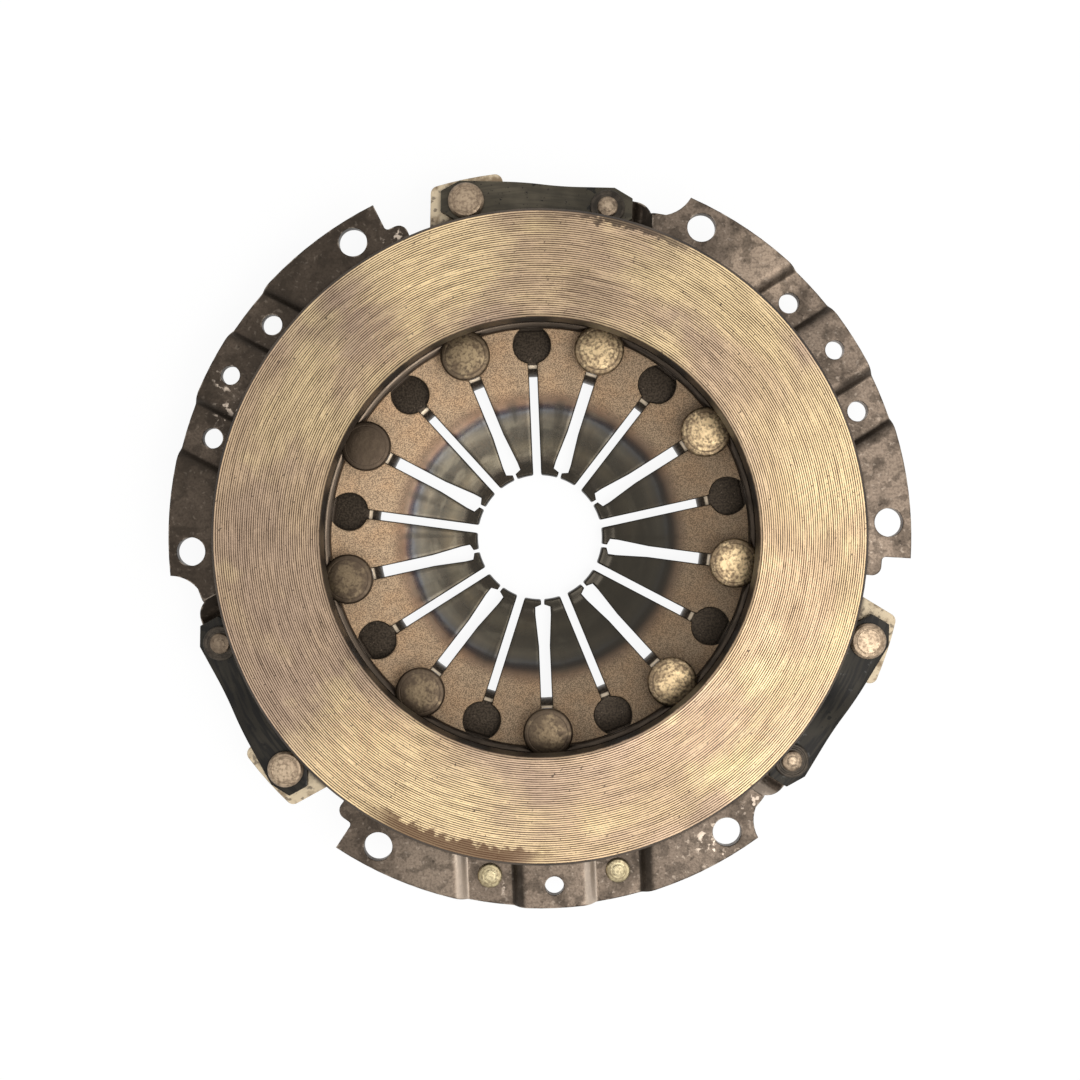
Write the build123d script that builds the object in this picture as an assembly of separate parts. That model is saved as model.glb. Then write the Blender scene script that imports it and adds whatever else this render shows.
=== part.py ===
from build123d import *
import os
from math import atan2, cos, hypot, radians, sin, tan

# Clutch cover assembly for a 200 mm friction disc, free and not yet bolted down.
# A stamped cover carries a diaphragm spring between two wire rings on nine shouldered rivets.
# Three packs of leaf straps join the cover to the lugs of a cast pressure plate.
# Millimetres. The origin is on the axis in the flange's mating face, +Z towards the flywheel.

# Repeats
segment_count = 3
bolt_count = 6
fulcrum_rivet_count = 9
finger_count = 18
leaf_count = 3
segment_step = 360 / segment_count
bolt_step = 360 / bolt_count
fulcrum_rivet_step = 360 / fulcrum_rivet_count

# Where the repeats start, in degrees about the axis
segment_angle = 30.0
window_angle = segment_angle + segment_step / 2
fulcrum_rivet_angle = 30.0

# Travel of the plate away from the flywheel
plate_travel = 4.5

# Named clearances
fit_clearance = 0.05
fulcrum_clearance = 0.1
ring_clearance = 0.03
tail_clearance = 0.1
body_clearance = 1.2
rim_clearance = 0.3
sill_clearance = 1.5
keyhole_clearance = 1.5

# Mounting holes in the flange
bolt_circle_radius = 110.0
bolt_hole_radius = 4.5
dowel_hole_radius = 3.0
socket_radius = 8.5

# Stamped cover, outward from its wall to the bolt circle and the edge
sheet = 3.2
flange_margin = 7.0
wall_margin = 10.5
wall_draft = 1.3
wall_bend = 4.7
foot_bend = 3.0
base_step = 1.6
base_step_margin = 10.47
base_step_run = 4.0
base_step_bend = 5.0
lip_bend = 4.2
lip_height = 3.4
flange_radius = bolt_circle_radius + flange_margin
wall_top_radius = bolt_circle_radius - wall_margin
wall_foot_radius = wall_top_radius - wall_draft

# Sunk pads for the balance rivets, two in each flange segment
pad_depth = 3.0
pad_width = 14.4
pad_slope = 2.5
pad_top_bend = 4.0
pad_foot_bend = 1.2
pad_offset = 20.3
pad_start_margin = 8.0
pad_hole_inset = 3.5
pad_hole_radius = 3.25
pad_hole_distance = bolt_circle_radius - pad_hole_inset

# Ends of the flange segments, in degrees from their last bolts
flange_end_margin = 3.6
flange_start_margin = 5.7
shoulder_run = 3.3
shoulder_inset = 2.0
shoulder_bend = 3.0
shoulder_tip_bend = 1.2
flange_end_angle = bolt_step / 2 - flange_end_margin
flange_start_angle = bolt_step / 2 - flange_start_margin
shoulder_angle = flange_start_angle - shoulder_run
shoulder_radius = bolt_circle_radius - shoulder_inset

# Pressure plate casting, inward from the cover's wall
rim_overhang = 4.5
rim_thickness = 4.2
face_width = 33.5
body_depth = 5.0
body_bevel = 2.5
hub_wall = 5.0
hub_step = 4.0
edge_chamfer = 0.8
rim_bend = 0.8
body_bend = 1.5
hub_bend = 1.0
ridge_width = 5.0
ridge_height = 6.02
ridge_gap = 7.0
ridge_gap_rise = 0.6
ridge_flare = 1.5
ridge_root = 0.5
body_radius = wall_foot_radius - body_clearance
friction_radius = body_radius + rim_overhang
bore_radius = friction_radius - face_width
hub_radius = bore_radius + hub_wall
rim_back_z = plate_travel + rim_clearance
friction_height = rim_back_z + rim_thickness
hub_back_z = hub_step - body_depth

# Diaphragm spring, inward from the plate's body
spring_thickness = 2.4
spring_cone = 12.0
spring_margin = 10.0
spring_lap = 3.0
kink_radius = 43.0
kink_bend = 30.0
finger_cone = 7.0
tip_radius = 21.0
tip_length = 3.5
tip_rise = 0.9
tip_bend = 4.0
plain_slot_width = 2.6
rivet_slot_width = 3.5
flare_width = 5.0
flare_margin = 5.0
flare_run = 10.0
ear_length = 2.4
ear_slope = 1.0
ear_gap = 1.0
spring_radius = body_radius - spring_margin
ridge_radius = spring_radius - spring_lap
tip_bend_radius = tip_radius + tip_length
flare_radius = tip_radius + flare_margin
ear_radius = tip_radius + ear_length

# Fulcrum rings and their rivets, inward from the plate's ridge
fulcrum_lever = 14.47
ring_wire_radius = 2.0
rivet_head_radius = 8.0
rivet_head_height = 2.9
rivet_head_bevel = 1.16
rivet_head_crown = 0.35
rivet_shoulder_radius = 4.5
rivet_shank_radius = 3.3
rivet_tail_radius = 5.0
rivet_tail_height = 2.2
fulcrum_radius = ridge_radius - fulcrum_lever
rivet_circle_radius = fulcrum_radius - ring_wire_radius - ring_clearance - rivet_shoulder_radius
keyhole_radius = rivet_shoulder_radius + keyhole_clearance
base_step_radius = fulcrum_radius + base_step_margin
centre_hole_radius = rivet_circle_radius - rivet_tail_radius - tail_clearance - lip_bend

# Strap packs, from their fixed rivets near the bolt circle to the plate's lugs
strap_inset = 3.0
strap_spread = 1.3
cover_rivet_angle = -14.0
lug_rivet_angle = 10.0
leaf_thickness = 0.75
leaf_width = 13.0
leaf_end = 8.0
leaf_cut_length = 5.8
leaf_cut_width = 3.3
leaf_cover_flat = 9.0
leaf_lug_clearance = 0.45
cover_rivet_radius = bolt_circle_radius - strap_inset
lug_rivet_radius = cover_rivet_radius + strap_spread

# Lugs of the plate, under the moving ends of the straps
lug_margin = 7.5
lug_width = 22.7
lug_drop = 2.4
lug_thickness = 7.6
lug_root_depth = 7.0
lug_corner = 2.5
lug_radius = lug_rivet_radius + lug_margin
lug_root_radius = body_radius - lug_root_depth
lug_top = -lug_drop
lug_back_z = lug_top - lug_thickness
leaf_lug_flat = lug_width / 2 + leaf_lug_clearance

# Strap pads of the cover and the step up to the flange beside each
strap_pad_reach = 10.0
strap_pad_bend = 8.5
strap_pad_overhang = 5.5
strap_step_run = 6.0
step_landing = 4.0
step_lap = 0.5
step_top_bend = 2.2
step_foot_bend = 1.6
pad_corner_along = 5.7
pad_corner_out = 3.2
pad_curve_along = 11.2
pad_curve_out = 1.2
pad_end_inset = 0.9
pad_end_out = -2.3
scoop_out = -3.0
scoop_run = 6.5
window_inset = 4.0
window_sill_depth = sill_clearance + plate_travel - lug_back_z
strap_pad_z = lug_top - plate_travel
step_end = strap_pad_bend + strap_step_run

# Strap rivets, washers and balance rivets
bevel_share = 0.35
crown_share = 0.12
strap_shank_radius = 2.6
strap_head_radius = 3.3
strap_head_height = 1.0
strap_tail_radius = 4.6
strap_tail_height = 1.8
washer_radius = 5.5
washer_thickness = 1.2
washer_chamfer = 0.3
lug_shank_radius = 3.2
lug_head_radius = 5.65
lug_head_height = 2.2
lug_tail_radius = 4.9
lug_tail_height = 1.8
balance_head_radius = 3.9
balance_head_height = 1.2
balance_tail_radius = 4.6
balance_tail_height = 1.6

# Heights that follow from the stack of ridge, spring, rings and cover
cone = radians(spring_cone)
ridge_bend = 0.98 * ridge_width / 2
ridge_contact_z = -body_depth - ridge_height
ridge_centre_z = ridge_contact_z + (ridge_bend + fulcrum_clearance) / cos(cone)
fulcrum_height = ridge_contact_z - (ridge_radius - fulcrum_radius) * tan(cone)
ring_lift = (ring_wire_radius + fulcrum_clearance) / cos(cone)
front_ring_z = fulcrum_height + ring_lift
back_ring_z = fulcrum_height - spring_thickness / cos(cone) - ring_lift
rivet_seat_z = front_ring_z + ring_wire_radius + ring_clearance
base_z = back_ring_z - ring_wire_radius - ring_clearance
base_back_z = base_z - sheet
foot_z = base_z - base_step
lip_z = base_back_z - lip_height
pack_thickness = leaf_count * leaf_thickness

# Reach of cutting tools past the metal
past = 1.0
far_out = 2 * flange_radius


def polar(radius, angle):
    """Point in plan at a radius and an angle in degrees."""
    return Vector(radius * cos(radians(angle)), radius * sin(radians(angle)))


def turned(shape, angle):
    """The shape turned about the axis by an angle in degrees."""
    return Rot(0, 0, angle) * shape


def around(shape, count, step):
    """Copies of the shape spaced evenly about the axis."""
    return [turned(shape, index * step) for index in range(count)]


def post(radius, low, high, place=Vector(0, 0)):
    """Upright cylinder between two heights."""
    return Pos(place.X, place.Y, low) * extrude(Circle(radius), high - low)


def revolved(*points, bends=None):
    """Solid of revolution from a closed (radius, height) section, with a bend at each point."""
    outline = FilletPolyline(*points, radius=bends or [0] * len(points), close=True)
    return revolve(Plane.XZ * make_face(outline), Axis.Z)


def revolved_sheet(points, bends, thickness):
    """Turned sheet whose inner face follows the (radius, height) points."""
    line = FilletPolyline(*points, radius=bends)
    return revolve(Plane.XZ * make_face(offset(line, thickness, side=Side.LEFT)), Axis.Z)


def rivet(places, shank, head, head_height, tail, tail_height, low, high):
    """Rivet through a stack from low to high, with a bevelled head on top and a tail below."""
    bevel = head_height * bevel_share
    crown = head_height * crown_share
    body = revolved(
        (0, low - tail_height),
        (tail - bevel, low - tail_height),
        (tail, low - bevel),
        (tail, low),
        (shank, low),
        (shank, high),
        (head, high),
        (head, high + head_height - bevel - crown),
        (head - bevel, high + head_height - crown),
        (0, high + head_height),
    )
    return [Pos(place.X, place.Y, 0) * body for place in places]


# Strap frame: x runs back from the lug rivet past the cover rivet, y runs outward.
cover_rivet_point = polar(cover_rivet_radius, window_angle + cover_rivet_angle)
lug_rivet_point = polar(lug_rivet_radius, window_angle + lug_rivet_angle)
strap_span = (cover_rivet_point - lug_rivet_point).length
strap_direction = (cover_rivet_point - lug_rivet_point).normalized()
strap_plane = Plane(origin=cover_rivet_point, x_dir=strap_direction, z_dir=(0, 0, 1))
strap_section_plane = Plane(origin=cover_rivet_point, x_dir=strap_direction, z_dir=-strap_plane.y_dir)


def strap_point(along, out):
    """Point in plan from the strap frame."""
    return cover_rivet_point + strap_direction * along + strap_plane.y_dir * out


def upright(face, low, high):
    """Solid standing on a plan outline between two heights."""
    return Pos(0, 0, low) * extrude(face, high - low, dir=(0, 0, 1))


def window_outline():
    """Plan of the opening between two flange segments, with its curved flange end."""
    inner = body_radius - window_inset
    step_edge = step_end - step_lap
    flange_end = polar(flange_radius, window_angle - flange_end_angle)
    scoop_end = strap_point(step_edge, scoop_out)
    shoulder_low = polar(shoulder_radius, window_angle + shoulder_angle)
    shoulder_high = polar(shoulder_radius, window_angle + flange_start_angle)
    corners = [
        scoop_end,
        strap_point(step_edge, inner - cover_rivet_radius),
        polar(inner, window_angle + shoulder_angle),
        shoulder_low,
        shoulder_high,
        polar(far_out, window_angle + flange_start_angle),
        polar(far_out, window_angle - flange_end_angle),
        flange_end,
    ]
    scoop = ThreePointArc(flange_end, strap_point(step_edge + scoop_run, pad_end_out), scoop_end)
    outline = make_face([Polyline(*corners), scoop])
    for corner, bend in ((shoulder_low, shoulder_bend), (shoulder_high, shoulder_tip_bend)):
        outline = fillet(outline.vertices().sort_by_distance(corner)[0], bend)
    return outline


def strap_step():
    """Step down from the flange to the pad that carries the strap's fixed end."""
    line = FilletPolyline(
        (step_end + step_landing, 0),
        (step_end, 0),
        (strap_pad_bend, strap_pad_z),
        (-strap_pad_reach, strap_pad_z),
        radius=[step_top_bend, step_foot_bend],
    )
    section = make_face(offset(line, sheet, side=Side.LEFT))
    inward = body_radius - lug_root_depth - cover_rivet_radius
    bar = extrude(strap_section_plane * section, -inward, both=True)
    plan = make_face(
        [
            Polyline(
                strap_point(pad_corner_along, pad_corner_out),
                strap_point(0, strap_pad_overhang),
                strap_point(-strap_pad_reach, strap_pad_overhang),
                strap_point(-strap_pad_reach, inward),
                strap_point(step_end + step_landing, inward),
                strap_point(step_end + step_landing, scoop_out),
                strap_point(step_end - pad_end_inset, pad_end_out),
            ),
            ThreePointArc(
                strap_point(step_end - pad_end_inset, pad_end_out),
                strap_point(pad_curve_along, pad_curve_out),
                strap_point(pad_corner_along, pad_corner_out),
            ),
        ]
    )
    return bar & upright(plan, strap_pad_z - 2 * sheet, past)


def sunk_pad(side):
    """Cut and filling of one sunk pad, for a segment whose middle lies along +X."""
    foot = pad_width / 2
    top = foot + pad_slope
    landing = top + pad_top_bend
    shift = sheet * tan(atan2(pad_depth, pad_slope) / 2)
    half_cut = [(landing, past), (landing, 0), (top, 0), (foot, -pad_depth)]
    half_fill = [
        (landing, 0),
        (landing, -sheet),
        (top + shift, -sheet),
        (foot + shift, -sheet - pad_depth),
    ]
    cut_bends = [0, 0, pad_top_bend, pad_foot_bend]
    fill_bends = [0, 0, pad_top_bend - sheet, pad_foot_bend + sheet]
    start = wall_top_radius - pad_start_margin
    front = Plane(origin=(start, side * pad_offset, 0), x_dir=(0, 1, 0), z_dir=(1, 0, 0))
    solids = []
    for half, bends in ((half_cut, cut_bends), (half_fill, fill_bends)):
        mirrored = [(-x, z) for x, z in reversed(half)]
        outline = FilletPolyline(*half, *mirrored, radius=bends + bends[::-1], close=True)
        solids.append(extrude(front * make_face(outline), flange_radius + sheet - start))
    return solids


def cover():
    """Stamped cover with flange segments, sunk pads, strap pads, windows and holes."""
    inner_face = [
        (flange_radius, 0),
        (wall_top_radius, 0),
        (wall_foot_radius, foot_z),
        (base_step_radius, foot_z),
        (base_step_radius - base_step_run, base_z),
        (centre_hole_radius, base_z),
        (centre_hole_radius, lip_z),
    ]
    bends = [wall_bend, foot_bend, base_step_bend, base_step_bend, lip_bend]
    dish = revolved_sheet(inner_face, bends, sheet)
    room = revolved(
        (0, foot_z),
        (wall_foot_radius, foot_z),
        (wall_top_radius, 0),
        (wall_top_radius, sheet),
        (0, sheet),
    )
    middle_top = wall_top_radius + sheet / 2
    middle_foot = wall_foot_radius + sheet / 2
    filled = revolved((0, foot_z - past), (middle_foot, foot_z - past), (middle_top, 0), (0, 0))
    disc = post(flange_radius, -4 * sheet, 0)

    bolt_place = polar(bolt_circle_radius, 0)
    socket_wall = post(socket_radius + sheet, foot_z - past, 0, bolt_place) & filled
    dish = dish + around(socket_wall, bolt_count, bolt_step)

    pads_cut = []
    pads_fill = []
    for side in (-1, 1):
        cut, fill = sunk_pad(side)
        pads_cut += around(turned(cut, segment_angle), segment_count, segment_step)
        fill = turned((fill & disc) - room, segment_angle)
        pads_fill += around(fill, segment_count, segment_step)
    dish = dish + pads_fill - pads_cut

    window = window_outline()
    open_side = make_face(
        Polyline(
            strap_point(-strap_pad_reach, bolt_circle_radius / 2),
            strap_point(-strap_pad_reach, -bolt_circle_radius / 2),
            strap_point(-far_out, -bolt_circle_radius / 2),
            strap_point(-far_out, bolt_circle_radius / 2),
            close=True,
        )
    )
    above_pad = upright(window, strap_pad_z, sheet)
    through = upright(window & open_side, -window_sill_depth, sheet)
    step = strap_step() - room
    dish = dish - around(above_pad, segment_count, segment_step)
    dish = dish - around(through, segment_count, segment_step)
    dish = dish + around(step, segment_count, segment_step)

    holes = around(post(bolt_hole_radius, -2 * sheet, past, bolt_place), bolt_count, bolt_step)
    sockets = around(post(socket_radius, lip_z, -sheet, bolt_place), bolt_count, bolt_step)
    dowel = post(dowel_hole_radius, -3 * sheet, past, polar(bolt_circle_radius, segment_angle))
    holes += around(dowel, segment_count, segment_step)
    for side in (-1, 1):
        pad_hole = post(pad_hole_radius, -4 * sheet, past, Vector(pad_hole_distance, side * pad_offset))
        holes += around(turned(pad_hole, segment_angle), segment_count, segment_step)
    strap_fit = strap_shank_radius + fit_clearance
    strap_hole = post(strap_fit, strap_pad_z - 2 * sheet, strap_pad_z + past, cover_rivet_point)
    holes += around(strap_hole, segment_count, segment_step)
    fulcrum_place = polar(rivet_circle_radius, fulcrum_rivet_angle)
    fulcrum_fit = rivet_shank_radius + fit_clearance
    fulcrum_hole = post(fulcrum_fit, base_back_z - past, base_z + past, fulcrum_place)
    holes += around(fulcrum_hole, fulcrum_rivet_count, fulcrum_rivet_step)
    return dish - sockets - holes


def pressure_plate():
    """Cast plate with a friction face, a thin rim, an interrupted fulcrum ridge and three lugs."""
    plate = revolved(
        (bore_radius, friction_height),
        (friction_radius, friction_height),
        (friction_radius, rim_back_z),
        (body_radius, rim_back_z),
        (body_radius, 0),
        (body_radius - body_bevel, -body_depth),
        (hub_radius, -body_depth),
        (hub_radius, hub_back_z),
        (bore_radius, hub_back_z),
        bends=[0, 0, rim_bend, body_bend, 0, body_bend, hub_bend, body_bend, hub_bend],
    )
    rings = plate.edges().filter_by(GeomType.CIRCLE)
    sharp = [ring for ring in rings if abs(ring.center().Z - friction_height) < fit_clearance]
    plate = chamfer(sharp, edge_chamfer)
    ridge_half = ridge_width / 2
    ridge = revolved(
        (ridge_radius - ridge_half - ridge_flare, ridge_root - body_depth),
        (ridge_radius - ridge_half, -body_depth - ridge_flare),
        (ridge_radius - ridge_half, ridge_centre_z - ridge_bend),
        (ridge_radius + ridge_half, ridge_centre_z - ridge_bend),
        (ridge_radius + ridge_half, -body_depth - ridge_flare),
        (ridge_radius + ridge_half + ridge_flare, ridge_root - body_depth),
        bends=[0, 0, ridge_bend, ridge_bend, 0, 0],
    )
    below = (Align.CENTER, Align.CENTER, Align.MAX)
    gap_box = Box(4 * ridge_width, ridge_gap, 4 * body_depth, align=below)
    gap = Pos(ridge_radius, 0, -body_depth - ridge_gap_rise) * gap_box
    gaps = around(turned(gap, fulcrum_rivet_angle), fulcrum_rivet_count, fulcrum_rivet_step)
    plate = plate + (ridge - gaps)

    lug_plan = make_face(
        Polyline(
            strap_point(-strap_span - lug_width / 2, -lug_width),
            strap_point(-strap_span - lug_width / 2, lug_width),
            strap_point(-strap_span + lug_width / 2, lug_width),
            strap_point(-strap_span + lug_width / 2, -lug_width),
            close=True,
        )
    )
    lug_plan = (lug_plan & Circle(lug_radius)) - Circle(lug_root_radius)
    corners = lug_plan.vertices()
    outer_corners = [corner for corner in corners if hypot(corner.X, corner.Y) > lug_rivet_radius]
    lug_plan = fillet(outer_corners, lug_corner)
    lug = upright(lug_plan, lug_back_z, lug_top)
    lug = lug - post(lug_shank_radius + fit_clearance, lug_back_z - past, lug_top + past, lug_rivet_point)
    return plate + around(lug, segment_count, segment_step)


def finger_slot(width, flared):
    """Plan of one slot between two fingers, along +X, with its keyhole."""
    half = width / 2
    root = rivet_circle_radius
    if flared:
        outline = [
            (root, half),
            (flare_radius + flare_run, half),
            (flare_radius, flare_width / 2),
            (ear_radius, flare_width / 2),
            (ear_radius - ear_slope, ear_gap / 2),
            (tip_radius - spring_thickness, ear_gap / 2),
        ]
    else:
        outline = [(root, half), (tip_radius - spring_thickness, half)]
    mirrored = [(x, -y) for x, y in reversed(outline)]
    slot = make_face(Polyline(*outline, *mirrored, close=True))
    return slot + Pos(rivet_circle_radius, 0) * Circle(keyhole_radius)


def diaphragm_spring():
    """Coned spring disc, slotted into fingers from keyholes on the rivet circle."""
    rim_z = fulcrum_height + (spring_radius - fulcrum_radius) * tan(cone)
    kink_z = fulcrum_height - (fulcrum_radius - kink_radius) * tan(cone)
    bend_z = kink_z - (kink_radius - tip_bend_radius) * tan(radians(finger_cone))
    top_face = [
        (spring_radius, rim_z),
        (kink_radius, kink_z),
        (tip_bend_radius, bend_z),
        (tip_radius, bend_z + tip_rise),
    ]
    disc = revolved_sheet(top_face, [kink_bend, tip_bend], spring_thickness)
    step = 2 * 360 / finger_count
    slots = []
    for width, flared, start in (
        (rivet_slot_width, True, fulcrum_rivet_angle),
        (plain_slot_width, False, fulcrum_rivet_angle + step / 2),
    ):
        slot = upright(finger_slot(width, flared), lip_z, 0)
        slots += around(turned(slot, start), finger_count // 2, step)
    return disc - slots


def fulcrum_ring(height):
    """Closed wire ring that the spring tilts on."""
    wire = Plane.XZ * Pos(fulcrum_radius, height) * Circle(ring_wire_radius)
    return revolve(wire, Axis.Z)


def fulcrum_rivets():
    """Shouldered rivets that hold the rings and the spring against the cover."""
    bevel = rivet_head_bevel
    crown = rivet_head_crown
    body = revolved(
        (0, base_back_z - rivet_tail_height),
        (rivet_tail_radius - bevel, base_back_z - rivet_tail_height),
        (rivet_tail_radius, base_back_z - bevel),
        (rivet_tail_radius, base_back_z),
        (rivet_shank_radius, base_back_z),
        (rivet_shank_radius, base_z),
        (rivet_shoulder_radius, base_z),
        (rivet_shoulder_radius, rivet_seat_z),
        (rivet_head_radius, rivet_seat_z),
        (rivet_head_radius, rivet_seat_z + rivet_head_height - bevel - crown),
        (rivet_head_radius - bevel, rivet_seat_z + rivet_head_height - crown),
        (0, rivet_seat_z + rivet_head_height),
    )
    place = polar(rivet_circle_radius, fulcrum_rivet_angle)
    first = Pos(place.X, place.Y, 0) * body
    return around(first, fulcrum_rivet_count, fulcrum_rivet_step)


def leaf(layer):
    """One strap leaf, bent from the cover's pad up to the lug, in the first window."""
    low = layer * leaf_thickness
    bend_start = (-leaf_cover_flat, strap_pad_z + low)
    bend_end = (-strap_span + leaf_lug_flat, lug_top + low)
    middle = ((bend_start[0] + bend_end[0]) / 2, (bend_start[1] + bend_end[1]) / 2)
    start = (leaf_end, strap_pad_z + low)
    end = (-strap_span - leaf_end, lug_top + low)
    lower = Curve() + [
        Line(start, bend_start),
        TangentArc(bend_start, middle, tangent=(-1, 0)),
        TangentArc(bend_end, middle, tangent=(1, 0)),
        Line(bend_end, end),
    ]
    upper = Pos(0, leaf_thickness) * lower
    ends = [Line(start, (start[0], start[1] + leaf_thickness)), Line(end, (end[0], end[1] + leaf_thickness))]
    section = make_face(lower.edges() + upper.edges() + ends)
    bar = extrude(strap_section_plane * section, leaf_width / 2, both=True)
    half = leaf_width / 2
    cut = leaf_end - leaf_cut_length
    far = -strap_span
    corners = [
        (cut, half),
        (leaf_end, half - leaf_cut_width),
        (leaf_end, leaf_cut_width - half),
        (cut, -half),
        (far - cut, -half),
        (far - leaf_end, leaf_cut_width - half),
        (far - leaf_end, half - leaf_cut_width),
        (far - cut, half),
    ]
    plan = make_face(Polyline(*[strap_point(*corner) for corner in corners], close=True))
    below = strap_pad_z - past
    above = lug_top + pack_thickness + past
    bar = bar & upright(plan, below, above)
    bar = bar - post(strap_shank_radius + fit_clearance, below, above, cover_rivet_point)
    return bar - post(lug_shank_radius + fit_clearance, below, above, lug_rivet_point)


def strap_washer():
    """Washer under the formed head of the strap's fixed rivet."""
    low = strap_pad_z + pack_thickness
    disc = post(washer_radius, low, low + washer_thickness, cover_rivet_point)
    disc = chamfer(disc.edges().sort_by(Axis.Z)[-1], washer_chamfer)
    high = low + washer_thickness
    return disc - post(strap_shank_radius + fit_clearance, low - past, high + past, cover_rivet_point)


def balance_rivets():
    """Rivets in the two sunk pads of the last flange segment."""
    middle = segment_angle + 2 * segment_step
    places = [turned(Pos(pad_hole_distance, side * pad_offset), middle).position for side in (-1, 1)]
    return rivet(
        places,
        pad_hole_radius - fit_clearance,
        balance_head_radius,
        balance_head_height,
        balance_tail_radius,
        balance_tail_height,
        -pad_depth - sheet,
        -pad_depth,
    )


def write(name, shape):
    """Write one named node."""
    export_step(shape, f"parts/{name}.step")


def main():
    """Make every sub-part and write it in its place."""
    os.makedirs("parts", exist_ok=True)
    write("cover", cover())
    write("pressure_plate", pressure_plate())
    write("diaphragm_spring", diaphragm_spring())
    write("front_fulcrum_ring", fulcrum_ring(front_ring_z))
    write("back_fulcrum_ring", fulcrum_ring(back_ring_z))
    for number, body in enumerate(fulcrum_rivets(), 1):
        write(f"fulcrum_rivet_{number}", body)

    fixed_rivet = rivet(
        [cover_rivet_point],
        strap_shank_radius,
        strap_head_radius,
        strap_head_height,
        strap_tail_radius,
        strap_tail_height,
        strap_pad_z - sheet,
        strap_pad_z + pack_thickness + washer_thickness,
    )[0]
    lug_rivet = rivet(
        [lug_rivet_point],
        lug_shank_radius,
        lug_head_radius,
        lug_head_height,
        lug_tail_radius,
        lug_tail_height,
        lug_back_z,
        lug_top + pack_thickness,
    )[0]
    leaves = [leaf(layer) for layer in range(leaf_count)]
    for number in range(segment_count):
        angle = number * segment_step
        write(f"cover_strap_rivet_{number + 1}", turned(fixed_rivet, angle))
        write(f"lug_strap_rivet_{number + 1}", turned(lug_rivet, angle))
        write(f"strap_washer_{number + 1}", turned(strap_washer(), angle))
        for layer, shape in enumerate(leaves, 1):
            write(f"strap_{number + 1}_leaf_{layer}", turned(shape, angle))
    for number, body in enumerate(balance_rivets(), 1):
        write(f"balance_rivet_{number}", body)


main()
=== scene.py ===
"""Dressed model of a clutch cover assembly: casting, spring, straps, rivets, finishes and studio.

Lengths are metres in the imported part's frame. The origin is on the axis in the flange's mating
face and +Z points to the flywheel. Angles are degrees about the axis unless a name says otherwise.
"""

import logging
import math
from dataclasses import dataclass, fields
from enum import Enum
from typing import ClassVar, Optional, Sequence, Union

import bmesh
import bpy
import numpy as np
from mathutils import Euler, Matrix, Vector

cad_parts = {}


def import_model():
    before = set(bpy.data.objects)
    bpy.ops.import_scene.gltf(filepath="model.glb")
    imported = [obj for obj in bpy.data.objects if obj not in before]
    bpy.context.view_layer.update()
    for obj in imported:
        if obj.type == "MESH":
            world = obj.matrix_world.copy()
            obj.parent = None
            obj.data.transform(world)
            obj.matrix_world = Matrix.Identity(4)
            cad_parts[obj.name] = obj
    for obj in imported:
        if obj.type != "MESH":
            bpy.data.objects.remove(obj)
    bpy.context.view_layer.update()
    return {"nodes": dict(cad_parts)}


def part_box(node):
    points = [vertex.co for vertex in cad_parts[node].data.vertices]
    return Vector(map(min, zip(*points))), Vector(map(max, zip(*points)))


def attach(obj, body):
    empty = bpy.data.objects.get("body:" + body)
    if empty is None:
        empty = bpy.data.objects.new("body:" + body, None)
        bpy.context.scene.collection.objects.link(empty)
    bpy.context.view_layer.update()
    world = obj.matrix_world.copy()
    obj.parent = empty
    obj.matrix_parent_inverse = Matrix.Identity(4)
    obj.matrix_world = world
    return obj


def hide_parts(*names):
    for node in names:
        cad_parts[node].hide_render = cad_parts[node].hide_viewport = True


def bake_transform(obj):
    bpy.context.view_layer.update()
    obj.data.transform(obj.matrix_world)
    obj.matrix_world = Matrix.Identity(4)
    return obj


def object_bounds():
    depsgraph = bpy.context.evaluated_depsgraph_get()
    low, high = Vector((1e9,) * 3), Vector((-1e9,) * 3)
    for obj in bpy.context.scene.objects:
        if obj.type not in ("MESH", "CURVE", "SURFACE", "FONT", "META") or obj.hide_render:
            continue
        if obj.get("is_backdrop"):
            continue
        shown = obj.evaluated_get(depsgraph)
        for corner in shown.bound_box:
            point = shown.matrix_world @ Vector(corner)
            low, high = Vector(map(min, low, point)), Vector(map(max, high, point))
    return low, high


MM = 0.001
Colour = tuple[float, float, float]
WHITE = (1.0, 1.0, 1.0, 1.0)
log = logging.getLogger("clutch_cover")


class Body(str, Enum):
    """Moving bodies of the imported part."""

    COVER = "cover"
    PLATE = "pressure_plate"
    DIAPHRAGM = "diaphragm"


class Slot(str, Enum):
    """Material slots of the part's record."""

    CASTING = "plate_casting"
    SPRING = "spring_steel"
    FULCRUM_RIVET = "fulcrum_rivet_steel"
    STRAP = "strap_steel"
    STRAP_RIVET = "strap_rivet_steel"
    WASHER = "washer_steel"
    BALANCE_RIVET = "balance_rivet_steel"


def polar(radius: float, angle: float, height: float = 0.0) -> Vector:
    """Point at a radius, an angle in degrees and a height."""
    turn = math.radians(angle)
    return Vector((radius * math.cos(turn), radius * math.sin(turn), height))


def bearing(point: Vector) -> float:
    """Angle of a point about the axis, in degrees."""
    return math.degrees(math.atan2(point.y, point.x))


def middle(node: str) -> Vector:
    """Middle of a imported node's box."""
    low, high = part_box(node)
    return (low + high) / 2


def numbered(stem: str, count: int) -> list[str]:
    """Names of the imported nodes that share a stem, from 1 up."""
    return [f"{stem}_{number}" for number in range(1, count + 1)]


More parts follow.
